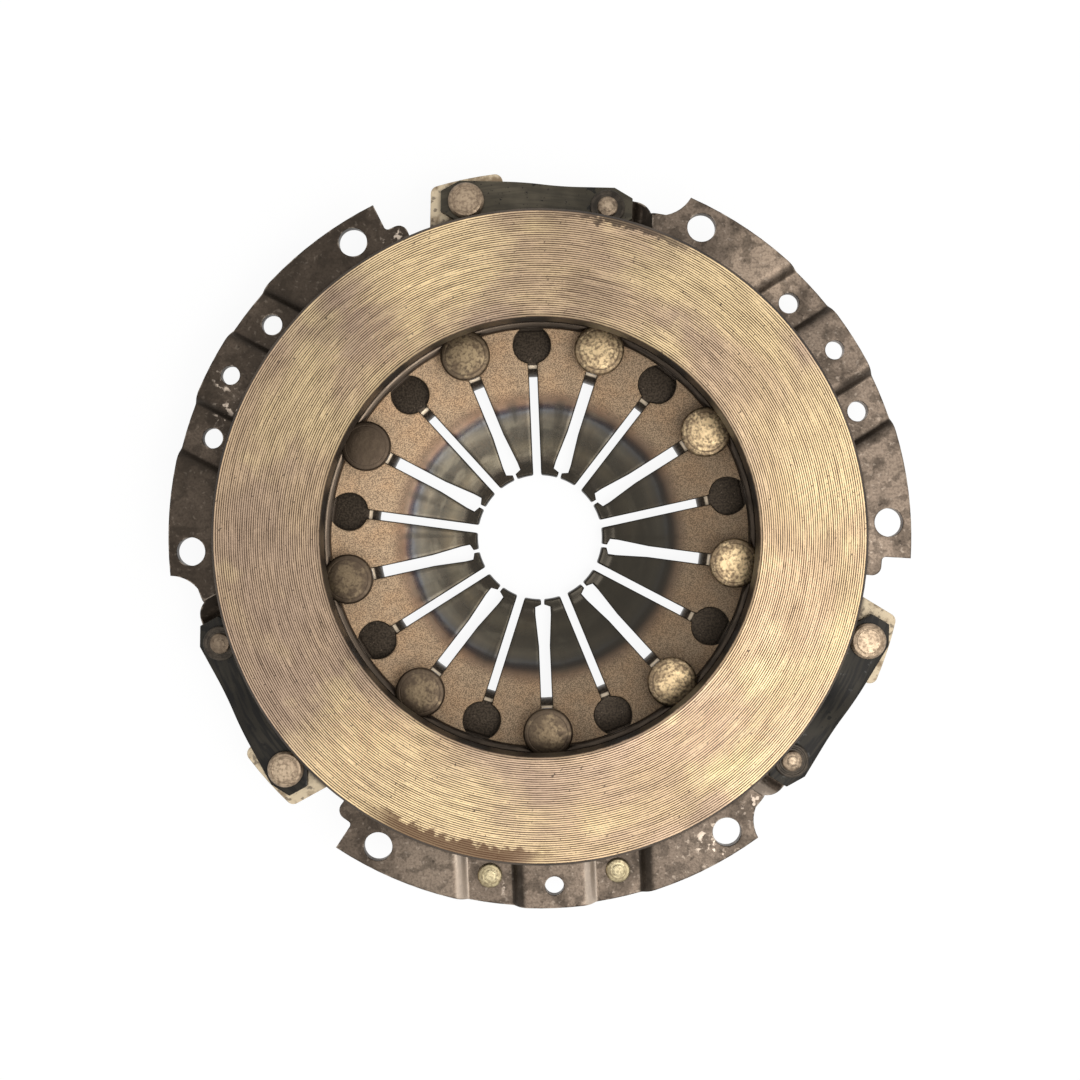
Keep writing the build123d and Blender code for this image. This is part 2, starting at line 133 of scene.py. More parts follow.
@dataclass(frozen=True)
class Signal:
    """One output of a node, with arithmetic that adds maths nodes."""

    graph: "Graph"
    socket: bpy.types.NodeSocket

    def __add__(self, other: "Value") -> "Signal":
        """Sum with a signal or a number."""
        return self.graph.maths("ADD", self, other)

    def __sub__(self, other: "Value") -> "Signal":
        """Difference from a signal or a number."""
        return self.graph.maths("SUBTRACT", self, other)

    def __rsub__(self, other: "Value") -> "Signal":
        """Difference of a number and this signal."""
        return self.graph.maths("SUBTRACT", other, self)

    def __mul__(self, other: "Value") -> "Signal":
        """Product with a signal or a number."""
        return self.graph.maths("MULTIPLY", self, other)

    def __truediv__(self, other: "Value") -> "Signal":
        """Quotient by a signal or a number."""
        return self.graph.maths("DIVIDE", self, other)


Value = Union[Signal, float, int]
Section = list[tuple[Value, Value]]


class Graph:
    """Adds and joins the nodes of a shader or geometry tree."""

    def __init__(self, tree: bpy.types.NodeTree) -> None:
        """Works on a node tree, which it empties first."""
        self.tree = tree
        tree.nodes.clear()

    def node(self, kind: str, inputs: Optional[dict] = None, **settings: object) -> bpy.types.Node:
        """Adds one node.

        Args:
            kind: the node's type name.
            inputs: values or signals by socket name or index.
            settings: properties of the node.

        Returns:
            The new node.
        """
        node = self.tree.nodes.new(kind)
        for name, value in settings.items():
            setattr(node, name, value)
        for key, value in (inputs or {}).items():
            self.feed(node.inputs[key], value)
        return node

    def feed(self, socket: bpy.types.NodeSocket, value: object) -> None:
        """Joins a signal to a socket, or sets the socket's own value.

        Args:
            socket: the input to feed.
            value: a signal, or a plain value.
        """
        if isinstance(value, Signal):
            self.tree.links.new(value.socket, socket)
        else:
            socket.default_value = value

    def out(self, node: bpy.types.Node, key: Union[int, str] = 0) -> Signal:
        """Signal of one output of a node."""
        return Signal(self, node.outputs[key])

    def add(self, kind: str, inputs: Optional[dict] = None, **settings: object) -> Signal:
        """Adds one node and gives the signal of its first output."""
        return self.out(self.node(kind, inputs, **settings))

    def maths(self, operation: str, *values: Value, clamp: bool = False) -> Signal:
        """Result of one maths node on up to three values."""
        return self.add("ShaderNodeMath", dict(enumerate(values)), operation=operation, use_clamp=clamp)

    def vector(self, x: Value, y: Value, z: Value) -> Signal:
        """Vector from three values."""
        return self.add("ShaderNodeCombineXYZ", {0: x, 1: y, 2: z})

    def parts(self, vector: Signal) -> tuple[Signal, Signal, Signal]:
        """The three values of a vector."""
        node = self.node("ShaderNodeSeparateXYZ", {0: vector})
        return self.out(node, 0), self.out(node, 1), self.out(node, 2)

    def background_rays(self) -> Signal:
        """Mask of the rays that show the background.

        Returns:
            1 for the camera's rays and for those reflected or seen through glass, else 0.
        """
        path = self.node("ShaderNodeLightPath")
        camera, glossy, through = (
            self.out(path, f"Is {kind} Ray") for kind in ("Camera", "Glossy", "Transmission")
        )
        return self.maths("ADD", camera + glossy, through, clamp=True)

    def step(
        self, value: Value, low: float, high: float, start: float = 0.0, end: float = 1.0
    ) -> Signal:
        """Smooth rise from start to end while a value goes from low to high."""
        inputs = {0: value, 1: low, 2: high, 3: start, 4: end}
        return self.add("ShaderNodeMapRange", inputs, interpolation_type="SMOOTHSTEP")

    def fall(self, value: Value, low: float, high: float) -> Signal:
        """Smooth fall from 1 to 0 while a value goes from low to high."""
        return self.step(value, low, high, 1.0, 0.0)

    def between(self, value: Value, low: float, high: float, soft: float) -> Signal:
        """Mask of 1 while a value is between two limits, with soft ends."""
        return self.step(value, low - soft, low + soft) * self.fall(value, high - soft, high + soft)


@dataclass(frozen=True)
class Cloud:
    """Pattern of soft noise that rises from 0 to 1 between two of the noise's values.

    The scale is in features per metre and the detail in octaves. A shift sets apart two clouds
    of one scale.
    """

    scale: float
    detail: float
    low: float
    high: float
    shift: float = 0.0


@dataclass(frozen=True)
class Streaks:
    """Noise drawn out along circles: features per metre of radius and, about, per turn."""

    fine: float
    coarse: float
    detail: float = 3.0


class Material(Graph):
    """Graph of a new surface material round one principled shader."""

    def __init__(self, name: str, metallic: float, roughness: float) -> None:
        """Makes the material and its shader.

        Args:
            name: the material's name.
            metallic: the shader's metallic share.
            roughness: the shader's roughness where nothing else feeds it.
        """
        self.data = bpy.data.materials.new(name)
        self.data.use_nodes = True
        super().__init__(self.data.node_tree)
        values = {"Metallic": metallic, "Roughness": roughness}
        self.shader = self.node("ShaderNodeBsdfPrincipled", values)
        self.node("ShaderNodeOutputMaterial", {"Surface": self.out(self.shader)})
        self.place = self.out(self.node("ShaderNodeTexCoord"), "Object")
        self.x, self.y, self.z = self.parts(self.place)

    def radius(self) -> Signal:
        """Distance from the part's axis."""
        return self.maths("SQRT", self.x * self.x + self.y * self.y)

    def facing(self, angle: float) -> Signal:
        """Cosine between a point's direction from the axis and an angle in degrees."""
        way = polar(1.0, angle)
        return (self.x * way.x + self.y * way.y) / self.radius()

    def surface(self) -> tuple[Signal, Signal, Signal]:
        """The three parts of the surface's own normal."""
        return self.parts(self.out(self.node("ShaderNodeTexCoord"), "Normal"))

    def noise(
        self, scale: float, detail: float, vector: Optional[Signal] = None, shift: float = 0.0
    ) -> Signal:
        """Soft noise of mean 0.5.

        Args:
            scale: features per metre, or per unit of vector.
            detail: octaves.
            vector: coordinates, or None for the object's own.
            shift: moves the pattern, so that two uses differ.

        Returns:
            The noise value.
        """
        place = vector or self.place
        if shift:
            moved = {0: place, 1: (shift, shift * 2, -shift)}
            place = self.add("ShaderNodeVectorMath", moved, operation="ADD")
        return self.add("ShaderNodeTexNoise", {"Vector": place, "Scale": scale, "Detail": detail})

    def cloud(self, cloud: Cloud) -> Signal:
        """Mask of a cloud pattern."""
        noise = self.noise(cloud.scale, cloud.detail, shift=cloud.shift)
        return self.step(noise, cloud.low, cloud.high)

    def streaks(self, streaks: Streaks) -> Signal:
        """Noise of a streak pattern, which has no seam.

        Args:
            streaks: the pattern.

        Returns:
            The noise value.
        """
        radius = self.radius()
        across, along = radius * streaks.fine, streaks.coarse
        place = self.vector(self.x / radius * along, self.y / radius * along, across)
        return self.noise(1.0, streaks.detail, place)

    def spots(self, scale: float, reach: float, shift: float = 0.0) -> Signal:
        """Scattered spots of warped outline, in some of a pattern's cells.

        Args:
            scale: cells per metre.
            reach: radius of a spot as a share of its cell.
            shift: moves the pattern, so that two uses differ.

        Returns:
            Mask of 1 at the spots' middles.
        """
        warp = self.noise(scale * 1.7, 2.0, shift=shift) * (0.9 / scale)
        place = self.vector(self.x + warp, self.y + warp + shift, self.z)
        node = self.node("ShaderNodeTexVoronoi", {"Vector": place, "Scale": scale})
        chosen = self.step(self.parts(self.out(node, "Color"))[0], 0.55, 0.75)
        return self.fall(self.out(node, "Distance"), reach * 0.4, reach) * chosen

    def patch(self, centre: Vector, reach: float, ragged: float = 0.5) -> Signal:
        """Ragged mask round a point.

        Args:
            centre: the point.
            reach: distance past which the mask is 0.
            ragged: how far the outline strays, as a share of the reach.

        Returns:
            Mask of 1 at the centre.
        """
        away = {0: self.place, 1: tuple(centre)}
        gap = self.out(self.node("ShaderNodeVectorMath", away, operation="DISTANCE"), "Value")
        wobble = (self.noise(3.0 / reach, 4.0) - 0.5) * (2 * ragged * reach)
        return self.fall(gap + wobble, reach * 0.35, reach)

    def mix(self, share: Value, first: object, second: object, blend: str = "MIX") -> Signal:
        """Mix of two colours.

        Args:
            share: share of the second colour.
            first: a colour or a signal.
            second: a colour or a signal.
            blend: the blending mode.

        Returns:
            The mixed colour.
        """
        node = self.node("ShaderNodeMix", {0: share}, data_type="RGBA", blend_type=blend)
        for socket, colour in ((node.inputs[6], first), (node.inputs[7], second)):
            self.feed(socket, colour if isinstance(colour, Signal) else (*colour, 1.0))
        return self.out(node, 2)

    def ramp(self, value: Value, stops: Sequence[tuple[float, Colour]]) -> Signal:
        """Colour ramp.

        Args:
            value: what the ramp reads.
            stops: colours by the value at which they stand.

        Returns:
            The colour.
        """
        low, high = stops[0][0], stops[-1][0]
        share = self.add("ShaderNodeMapRange", {0: value, 1: low, 2: high})
        node = self.node("ShaderNodeValToRGB", {0: share})
        elements = node.color_ramp.elements
        for _ in stops[2:]:
            elements.new(0.5)
        for element, (stop, colour) in zip(elements, stops):
            element.position = (stop - low) / (high - low)
            element.color = (*colour, 1.0)
        return self.out(node)

    def rounded(self, width: float) -> Signal:
        """Normal that rounds sharp edges over a width."""
        return self.add("ShaderNodeBevel", {"Radius": width}, samples=6)

    def worn_edges(self, width: float) -> Signal:
        """Mask of the sharp edges.

        Args:
            width: width of the mask beside an edge.

        Returns:
            Mask of 1 at an edge.
        """
        plain = self.out(self.node("ShaderNodeNewGeometry"), "Normal")
        normals = {0: self.rounded(width), 1: plain}
        likeness = self.node("ShaderNodeVectorMath", normals, operation="DOT_PRODUCT")
        return self.fall(self.out(likeness, "Value"), 0.80, 0.97)

    def bump(self, height: Signal, depth: float, under: Optional[Signal] = None) -> Signal:
        """Normal bent by a height of 0 to 1.

        Args:
            height: the height signal.
            depth: what a height of 1 is, in metres.
            under: the normal that it is laid on.

        Returns:
            The bent normal.
        """
        inputs = {"Height": height, "Distance": depth}
        if under:
            inputs["Normal"] = under
        return self.add("ShaderNodeBump", inputs)

    def finish(self, colour: Signal, roughness: Signal, normal: Signal) -> bpy.types.Material:
        """Joins the results to the shader.

        Args:
            colour: the base colour.
            roughness: the roughness.
            normal: the bent normal.

        Returns:
            The finished material.
        """
        results = {"Base Color": colour, "Roughness": roughness, "Normal": normal}
        for name, signal in results.items():
            self.feed(self.shader.inputs[name], signal)
        return self.data


@dataclass(frozen=True)
class TurnedIron:
    """Fine-turned cast iron of the friction face, with gold and grey stains and painted shade."""

    pitch: float
    start: float
    end: float
    face: float
    grey: Colour = (0.60, 0.428, 0.302)
    tan: Colour = (0.76, 0.548, 0.342)
    gold: Colour = (0.96, 0.735, 0.42)
    line: Colour = (0.060, 0.036, 0.022)
    rust: Colour = (0.105, 0.052, 0.028)
    soot: Colour = (0.06, 0.042, 0.030)
    arcs: Streaks = Streaks(70.0, 2.6, 4.0)
    smudge: Cloud = Cloud(60.0, 2.0, 0.54, 0.70, 5.2)
    shade: Cloud = Cloud(30.0, 4.0, 0.50, 0.70, 9.4)
    dark_side: float = 150.0
    arc_radius: float = 94.0 * MM
    bright_arcs: tuple[tuple[float, float], ...] = (
        (108.0, 30.0 * MM),
        (232.0, 34.0 * MM),
        (250.0, 30.0 * MM),
        (15.0, 35.0 * MM),
    )
    specks: tuple[tuple[float, float, float], ...] = ((230.0, 0.12, 0.8), (620.0, 0.22, 0.7))
    rim_radius: float = 100.0 * MM
    rust_angle: float = 252.0
    rust_reach: float = 38.0 * MM
    smear_angle: float = 72.0
    smear_reach: float = 30.0 * MM

    def stained(self, m: Material, arcs: Signal) -> Signal:
        """Colour of the face without its grooves, with painted shade towards one side.

        Args:
            m: the material.
            arcs: noise along the turns.

        Returns:
            The colour.
        """
        warm = m.step(m.noise(17.0, 3.0) * 0.6 + arcs * 0.4, 0.38, 0.60)
        colour = m.mix(warm, self.grey, self.tan)
        glow = m.step(m.noise(13.0, 2.0, shift=3.1) * 0.5 + arcs * 0.5, 0.50, 0.66)
        colour = m.mix(glow, colour, self.gold)
        colour = m.mix(m.cloud(self.smudge) * 0.6, colour, self.gold)
        colour = m.mix(m.cloud(self.shade) * 0.24, colour, self.soot)
        # painted shade, darker towards one side of the face
        colour = m.mix(m.facing(self.dark_side) * 0.13 + 0.17, colour, self.soot)
        for angle, reach in self.bright_arcs:
            bright = m.patch(polar(self.arc_radius, angle, self.face), reach, 0.35)
            colour = m.mix(bright * 0.70, colour, self.gold)
        return colour

    def rimmed(self, m: Material, colour: Signal) -> Signal:
        """Adds the rust and the smear at the rim, and the dark border.

        Args:
            m: the material.
            colour: the colour so far.

        Returns:
            The new colour.
        """
        radius = m.radius()
        ragged = radius + (m.noise(400.0, 5.0) - 0.5) * (9.0 * MM)
        band = m.step(ragged, self.end - 4.8 * MM, self.end - 3.0 * MM)
        fringe = m.step(ragged, self.end - 2.0 * MM, self.end - 0.8 * MM)
        rust = m.patch(polar(self.rim_radius, self.rust_angle, self.face), self.rust_reach, 0.3)
        smear = m.patch(polar(self.rim_radius, self.smear_angle, self.face), self.smear_reach)
        colour = m.mix(rust * band * 0.85, colour, self.rust)
        colour = m.mix(smear * fringe * 0.85, colour, self.soot)
        border = m.step(radius, self.end + 0.2 * MM, self.end + 0.6 * MM)
        return m.mix(border * 0.7, colour, self.line)

    def build(self) -> bpy.types.Material:
        """Makes the material.

        Returns:
            The material.
        """
        m = Material("turned_iron", 0.8, 0.42)
        arcs = m.streaks(self.arcs)
        colour = self.stained(m, arcs)
        turns = (m.radius() - self.start) / self.pitch
        wave = m.maths("COSINE", turns * (2 * math.pi)) * -0.5 + 0.5
        drag = m.streaks(Streaks(0.8 / self.pitch, 9.0, 2.0))
        grit = m.noise(1500.0, 2.0)
        # painted shade in the valleys of the turned grooves
        groove_shade = m.step(wave + (drag - 0.5) * 1.5 + (grit - 0.5) * 0.6, 0.40, 0.80)
        colour = m.mix(groove_shade * 0.90, colour, self.line)
        for scale, reach, share in self.specks:
            colour = m.mix(m.spots(scale, reach) * share, colour, self.soot)
        rough = m.step(arcs, 0.3, 0.7, 0.36, 0.5)
        return m.finish(self.rimmed(m, colour), rough, m.bump(grit, 0.02 * MM))


@dataclass(frozen=True)
class CastIron:
    """Rough iron casting: dark on the back and darker in the bore with painted shade, pale at the lugs.
    """

    dark: Colour = (0.05, 0.037, 0.028)
    brown: Colour = (0.12, 0.088, 0.062)
    tan: Colour = (0.34, 0.245, 0.15)
    cream: Colour = (0.80, 0.66, 0.46)
    bore: Colour = (0.008, 0.006, 0.0045)
    bore_end: float = 69.2 * MM
    lug_start: float = 103.5 * MM
    skin: Cloud = Cloud(60.0, 4.0, 0.35, 0.7)
    lug_skin: Cloud = Cloud(240.0, 4.0, 0.36, 0.56)
    flecks: Cloud = Cloud(520.0, 4.0, 0.56, 0.66, 1.1)

    def build(self) -> bpy.types.Material:
        """Makes the material.

        Returns:
            The material.
        """
        m = Material("cast_iron", 0.35, 0.6)
        colour = m.mix(m.cloud(self.skin), self.dark, self.brown)
        lug = m.step(m.radius(), self.lug_start, self.lug_start + 2.0 * MM)
        pale = m.mix(m.cloud(self.lug_skin), self.tan, self.cream)
        pale = m.mix(m.cloud(self.flecks) * 0.7, pale, self.brown)
        colour = m.mix(lug, colour, pale)
        # dark iron in the bore, darkened further by painted shade
        bore = m.fall(m.radius(), self.bore_end, self.bore_end + 0.4 * MM)
        colour = m.mix(bore * 0.9, colour, self.bore)
        colour = m.mix(m.worn_edges(0.8 * MM) * lug * 0.6, colour, self.cream)
        rough = m.step(bore, 0.0, 1.0, 0.62, 0.36)
        return m.finish(colour, rough, m.bump(m.noise(900.0, 4.0), 0.22 * MM, m.rounded(0.6 * MM)))


@dataclass(frozen=True)
class SpringSteel:
    """Shot-peened spring steel whose fingers are tinted by induction hardening, with painted shade
    towards one side and on the slot walls.
    """

    tan: Colour = (0.58, 0.410, 0.258)
    speck: Colour = (0.165, 0.114, 0.071)
    smoke: Colour = (0.027, 0.022, 0.014)
    olive: Colour = (0.22, 0.19, 0.135)
    glare: Colour = (0.62, 0.46, 0.32)
    tint_radius: float = 43.2 * MM
    mottle: Cloud = Cloud(120.0, 4.0, 0.35, 0.7)
    rays: Streaks = Streaks(30.0, 8.0)
    shine: Streaks = Streaks(300.0, 4.0)
    outer_dark: float = -25.0
    inner_dark: float = -34.0

    def stops(self) -> list[tuple[float, Colour]]:
        """Colours of the heat tint, from the fingertips out.

        Returns:
            Pairs of radius and colour.
        """
        at = self.tint_radius
        return [
            (20.5 * MM, (0.026, 0.022, 0.015)),
            (25.0 * MM, (0.030, 0.025, 0.018)),
            (30.0 * MM, (0.108, 0.092, 0.061)),
            (33.5 * MM, (0.051, 0.046, 0.034)),
            (36.5 * MM, (0.070, 0.063, 0.048)),
            (39.0 * MM, (0.150, 0.133, 0.100)),
            (at - 2.6 * MM, (0.118, 0.110, 0.094)),
            (at - 1.4 * MM, (0.110, 0.117, 0.128)),
            (at - 0.5 * MM, (0.022, 0.021, 0.032)),
            (at + 0.4 * MM, (0.045, 0.026, 0.026)),
            (at + 1.4 * MM, (0.165, 0.100, 0.066)),
            (at + 3.0 * MM, (0.330, 0.218, 0.142)),
            (at + 6.0 * MM, self.tan),
        ]

    def build(self) -> bpy.types.Material:
        """Makes the material.

        Returns:
            The material.
        """
        m = Material("spring_steel", 0.65, 0.5)
        wobble = (m.noise(70.0, 3.0) - 0.5) * (2.4 * MM)
        colour = m.ramp(m.radius() + wobble, self.stops())
        outer = m.step(m.radius(), self.tint_radius, self.tint_radius + 4.0 * MM)
        inner = 1.0 - outer
        grain = m.noise(2700.0, 2.0)
        peened = m.fall(grain * 0.85 + m.noise(700.0, 3.0) * 0.15, 0.43, 0.56)
        colour = m.mix(peened * (outer * 0.75 + 0.2) * 0.80, colour, self.speck)
        colour = m.mix(m.cloud(self.mottle) * 0.25, colour, self.glare, "OVERLAY")
        rays = m.step(m.streaks(self.rays), 0.52, 0.72)
        colour = m.mix(inner * rays * 0.6, colour, self.smoke)
        shine = m.step(m.streaks(self.shine), 0.50, 0.72)
        colour = m.mix(inner * shine * 0.4, colour, self.olive)
        # painted shade, darker towards one side outside the tint and towards another side inside it
        outer_shade = (m.facing(self.outer_dark) * 0.25 + 0.29) * outer
        inner_shade = (m.facing(self.inner_dark) * 0.44 + 0.48) * inner
        colour = m.mix(outer_shade + inner_shade, colour, self.smoke)
        # painted shade on the faces that turn sideways, such as the slot walls and rounded edges
        sides = m.step(m.surface()[2], 0.60, 0.95, 0.9, 0.0)
        colour = m.mix(sides, colour, self.smoke)
        rough = m.step(outer, 0.0, 1.0, 0.25, 0.52)
        normal = m.bump(grain * outer, 0.09 * MM, m.rounded(0.3 * MM))
        return m.finish(colour, rough, m.bump(m.noise(300.0, 3.0), 0.04 * MM, normal))


@dataclass(frozen=True)
class StampedSheet:
    """Dark stamped sheet with an oil film and worn bright edges, and painted light and shade."""

    dark: Colour = (0.053, 0.038, 0.026)
    taupe: Colour = (0.31, 0.236, 0.178)
    bright: Colour = (0.75, 0.62, 0.50)
    base: Colour = (0.070, 0.051, 0.034)
    lip: Colour = (0.85, 0.70, 0.52)
    ink: Colour = (0.022, 0.015, 0.009)
    lip_radius: float = 56.3 * MM
    stains: tuple[tuple[float, float, float, float, Colour], ...] = (
        (109.0 * MM, 48.0, 16.0 * MM, 0.6, (0.50, 0.38, 0.28)),
        (110.0 * MM, 296.0, 34.0 * MM, 0.45, (0.08, 0.060, 0.045)),
        (110.0 * MM, 250.0, 16.0 * MM, 0.4, (0.36, 0.28, 0.21)),
    )
    scuffs: tuple[tuple[float, float, float], ...] = (
        (105.0 * MM, 156.5, 7.0 * MM),
        (110.0 * MM, 151.0, 5.0 * MM),
        (106.0 * MM, 112.0, 8.0 * MM),
        (111.0 * MM, 298.0, 9.0 * MM),
        (106.0 * MM, 307.0, 9.0 * MM),
        (110.0 * MM, 262.0, 6.0 * MM),
    )
    film: Cloud = Cloud(45.0, 5.0, 0.32, 0.68)
    grime: Cloud = Cloud(95.0, 5.0, 0.46, 0.64, 2.2)
    blots: Cloud = Cloud(240.0, 5.0, 0.50, 0.60, 4.4)
    rubbed: Cloud = Cloud(620.0, 5.0, 0.58, 0.70, 8.8)
    worn: Cloud = Cloud(260.0, 4.0, 0.50, 0.62)
    base_grain: Cloud = Cloud(1500.0, 4.0, 0.42, 0.60, 6.1)

    def stained(self, m: Material, film: Signal, grain: Signal) -> Signal:
        """Colour of the flat sheet: film, grime, stains, scuffs, specks and painted light towards one
        side.

        Args:
            m: the material.
            film: mask of the oil film.
            grain: noise of the rolled surface.

        Returns:
            The colour.
        """
        # painted light: the sheet is lighter towards the lamp's side, on the right and below
        side = m.step(m.x * 0.92 - m.y * 0.39, -85.0 * MM, 85.0 * MM)
        colour = m.mix(side * 0.8 + film * 0.3 - 0.1, self.dark, self.taupe)
        colour = m.mix(m.cloud(self.grime) * 0.60, colour, self.dark)
        for radius, angle, reach, share, tone in self.stains:
            colour = m.mix(m.patch(polar(radius, angle), reach) * share, colour, tone)
        colour = m.mix(m.cloud(self.blots) * 0.45, colour, self.ink)
        colour = m.mix(m.step(grain, 0.46, 0.60) * 0.3, colour, self.ink)
        for radius, angle, reach in self.scuffs:
            scratches = m.cloud(Cloud(430.0, 5.0, 0.56, 0.62, angle * 0.01))
            scuff = m.patch(polar(radius, angle), reach, 0.6) * scratches
            colour = m.mix(scuff * 0.8, colour, self.bright)
        colour = m.mix(m.spots(330.0, 0.22) * 0.6, colour, self.ink)
        # real rubbed specks, more of them where the sheet has painted light
        return m.mix(m.cloud(self.rubbed) * (side * 0.16 + 0.08), colour, self.bright)

    def bent(self, m: Material, colour: Signal) -> Signal:
        """Adds the painted shadow beside the plate, painted highlights and shade on the joggles'
        slopes, the worn edges and painted shade along the unworn edges.

        Args:
            m: the material.
            colour: the colour so far.

        Returns:
            The new colour.
        """
        flange = m.step(m.z, -4.5 * MM, -3.5 * MM)
        # painted shadow on the flange beside the plate
        shadow = m.fall(m.radius(), 101.5 * MM, 104.5 * MM) * flange
        colour = m.mix(shadow * 0.75, colour, self.ink)
        # painted highlights on the joggles' slopes that face the lamp in the lowest segment, painted
        # shade on them elsewhere and on the slopes facing away
        lit, _, up = m.surface()
        bends = flange * m.step(up, 0.30, 0.45) * m.step(m.radius(), 102.5 * MM, 104.0 * MM)
        low_side = m.fall(m.y, -60.0 * MM, -30.0 * MM)
        slope = m.step(lit, 0.08, 0.40) * bends
        colour = m.mix(slope * low_side * 0.6, colour, self.bright)
        colour = m.mix(slope * (1.0 - low_side) * 0.7, colour, self.ink)
        colour = m.mix(bends * m.step(lit, -0.40, -0.06, 0.85, 0.0), colour, self.ink)
        # painted shade along the edges where they are not worn; where worn they are bright
        edges = m.worn_edges(0.9 * MM)
        worn = m.cloud(self.worn)
        colour = m.mix(edges * (1.0 - worn) * 0.65, colour, self.ink)
        return m.mix(edges * worn * 0.7, colour, self.bright)

    def build(self) -> bpy.types.Material:
        """Makes the material.

        Returns:
            The material.
        """
        m = Material("stamped_sheet", 0.7, 0.42)
        film = m.cloud(self.film)
        grain = m.noise(1300.0, 3.0)
        colour = self.bent(m, self.stained(m, film, grain))
        deep = m.fall(m.z, -17.0 * MM, -10.5 * MM)
        base = m.mix(m.cloud(self.base_grain) * 0.8, self.base, self.ink)
        base = m.mix(m.spots(900.0, 0.20, 0.3) * 0.5, base, self.taupe)
        colour = m.mix(deep, colour, base)
        # painted highlight on the lip of the base, seen through the slots
        half, soft = 0.5 * MM, 0.2 * MM
        lip = m.between(m.radius(), self.lip_radius - half, self.lip_radius + half, soft)
        upward = m.step(m.surface()[2], 0.0, 0.3, 0.0, 0.9)
        colour = m.mix(lip * deep * upward, colour, self.lip)
        rough = m.step(film, 0.0, 1.0, 0.34, 0.5)
        return m.finish(colour, rough, m.bump(grain, 0.05 * MM, m.rounded(0.7 * MM)))


@dataclass(frozen=True)
class StrapSteel:
    """Dark olive spring strip with black oil spots."""

    olive: Colour = (0.048, 0.040, 0.026)
    pale: Colour = (0.105, 0.088, 0.060)
    oil: Colour = (0.007, 0.006, 0.005)
    bare: Colour = (0.26, 0.22, 0.16)
    film: Cloud = Cloud(60.0, 4.0, 0.35, 0.75)
    blots: Cloud = Cloud(330.0, 4.0, 0.62, 0.68, 0.7)
    rolling: Streaks = Streaks(900.0, 9.0, 4.0)
    oiled_below: float = 50.0 * MM
    dry_above: float = 85.0 * MM

    def build(self) -> bpy.types.Material:
        """Makes the material.

        Returns:
            The material.
        """
        m = Material("strap_steel", 0.6, 0.4)
        colour = m.mix(m.cloud(self.film), self.olive, self.pale)
        streaks = m.step(m.streaks(self.rolling), 0.42, 0.62)
        oiled = m.fall(m.y, self.oiled_below, self.dry_above)
        colour = m.mix(oiled * m.step(streaks, 0.0, 1.0, 0.75, 0.97), colour, self.oil)
        colour = m.mix(streaks * 0.3, colour, self.oil)
        blots = m.cloud(self.blots)
        colour = m.mix(blots * 0.85, colour, self.oil)
        colour = m.mix(m.spots(900.0, 0.28) * 0.8, colour, self.oil)
        colour = m.mix(m.worn_edges(0.3 * MM) * 0.4, colour, self.bare)
        rough = m.step(blots, 0.0, 1.0, 0.44, 0.2)
        return m.finish(colour, rough, m.bump(m.noise(1200.0, 2.0), 0.01 * MM))


@dataclass(frozen=True)
class PressedHead:
    """Pressed steel head with concentric marks, a mottled crown and a dark foot.

    Heads on the side of shade_angle get painted shade. Where there is a grey_angle, the head there is
    plain and brown, and painted shade darkens the heads on one side of the circle.
    """

    name: str
    base: Colour
    light: Colour
    dark: Colour
    crown_radius: float
    ring_pitch: float
    brown: Colour = (0.092, 0.064, 0.042)
    shade_angle: float = 0.0
    shade: float = 0.0
    grey_angle: Optional[float] = None
    brown_turn: float = 50.0
    circle_radius: float = 63.0 * MM
    circle_height: float = -8.0 * MM
    dome: float = 0.0

    def browned(self, m: Material, colour: Signal, fine: Signal, crown: Signal) -> Signal:
        """Adds the brown head and painted shade on one side of the circle.

        Args:
            m: the material.
            colour: the colour so far.
            fine: fine noise.
            crown: mask of the crown.

        Returns:
            The new colour.
        """
        centre = polar(self.circle_radius, self.grey_angle, self.circle_height)
        grey = m.patch(centre, 22.0 * MM, 0.05)
        # painted shade on one side of the circle of heads
        away = polar(1.0, self.grey_angle + self.brown_turn)
        brown = m.step(m.x * away.x + m.y * away.y, -35.0 * MM, 20.0 * MM)
        brown = brown * m.step(fine, 0.35, 0.55, 1.0, 0.9) * (1.0 - crown * 0.18)
        colour = m.mix(brown, colour, self.brown)
        return m.mix(grey * 0.9, colour, self.brown)

    def build(self) -> bpy.types.Material:
        """Makes the material, which reads each head's own coordinates.

        Returns:
            The material.
        """
        m = Material(self.name, 0.75, 0.4)
        own = m.out(m.node("ShaderNodeAttribute", attribute_name="own_place"), "Vector")
        x, y, _ = m.parts(own)
        radius = m.maths("SQRT", x * x + y * y)
        share = radius / self.crown_radius
        mottle = m.noise(380.0, 5.0)
        fine = m.noise(1100.0, 3.0)
        crown = m.fall(share * 0.6 + (mottle - 0.5) * 1.8 + (fine - 0.5) * 1.2, 0.10, 0.80)
        colour = m.mix(m.step(mottle, 0.38, 0.62), self.dark, self.base)
        colour = m.mix(crown * 0.85, colour, self.light)
        colour = m.mix(m.step(fine, 0.48, 0.62) * 0.5, colour, self.dark)
        half = self.crown_radius * 0.045
        # painted shade in the dent round the crown
        dent = m.between(radius, self.crown_radius - half, self.crown_radius + half, half * 0.5)
        colour = m.mix(dent * m.step(mottle, 0.40, 0.60, 0.25, 0.65), colour, self.dark)
        rings = m.maths("SINE", radius * (2 * math.pi / self.ring_pitch) + mottle * 3.0)
        colour = m.mix(m.step(rings, 0.65, 1.0) * 0.25, colour, self.dark)
        # painted shade on the heads towards shade_angle
        if self.shade:
            away = m.step(m.facing(self.shade_angle), 0.0, 0.9)
            colour = m.mix(away * self.shade, colour, self.dark)
        if self.grey_angle is not None:
            colour = self.browned(m, colour, fine, crown)
        rough = m.step(mottle, 0.3, 0.7, 0.34, 0.48)
        normal = m.bump(share * share * -1.0, self.dome)
        normal = m.bump(rings * 0.5 + 0.5, 0.01 * MM, normal)
        return m.finish(colour, rough, m.bump(mottle * 0.6 + fine * 0.4, 0.14 * MM, normal))


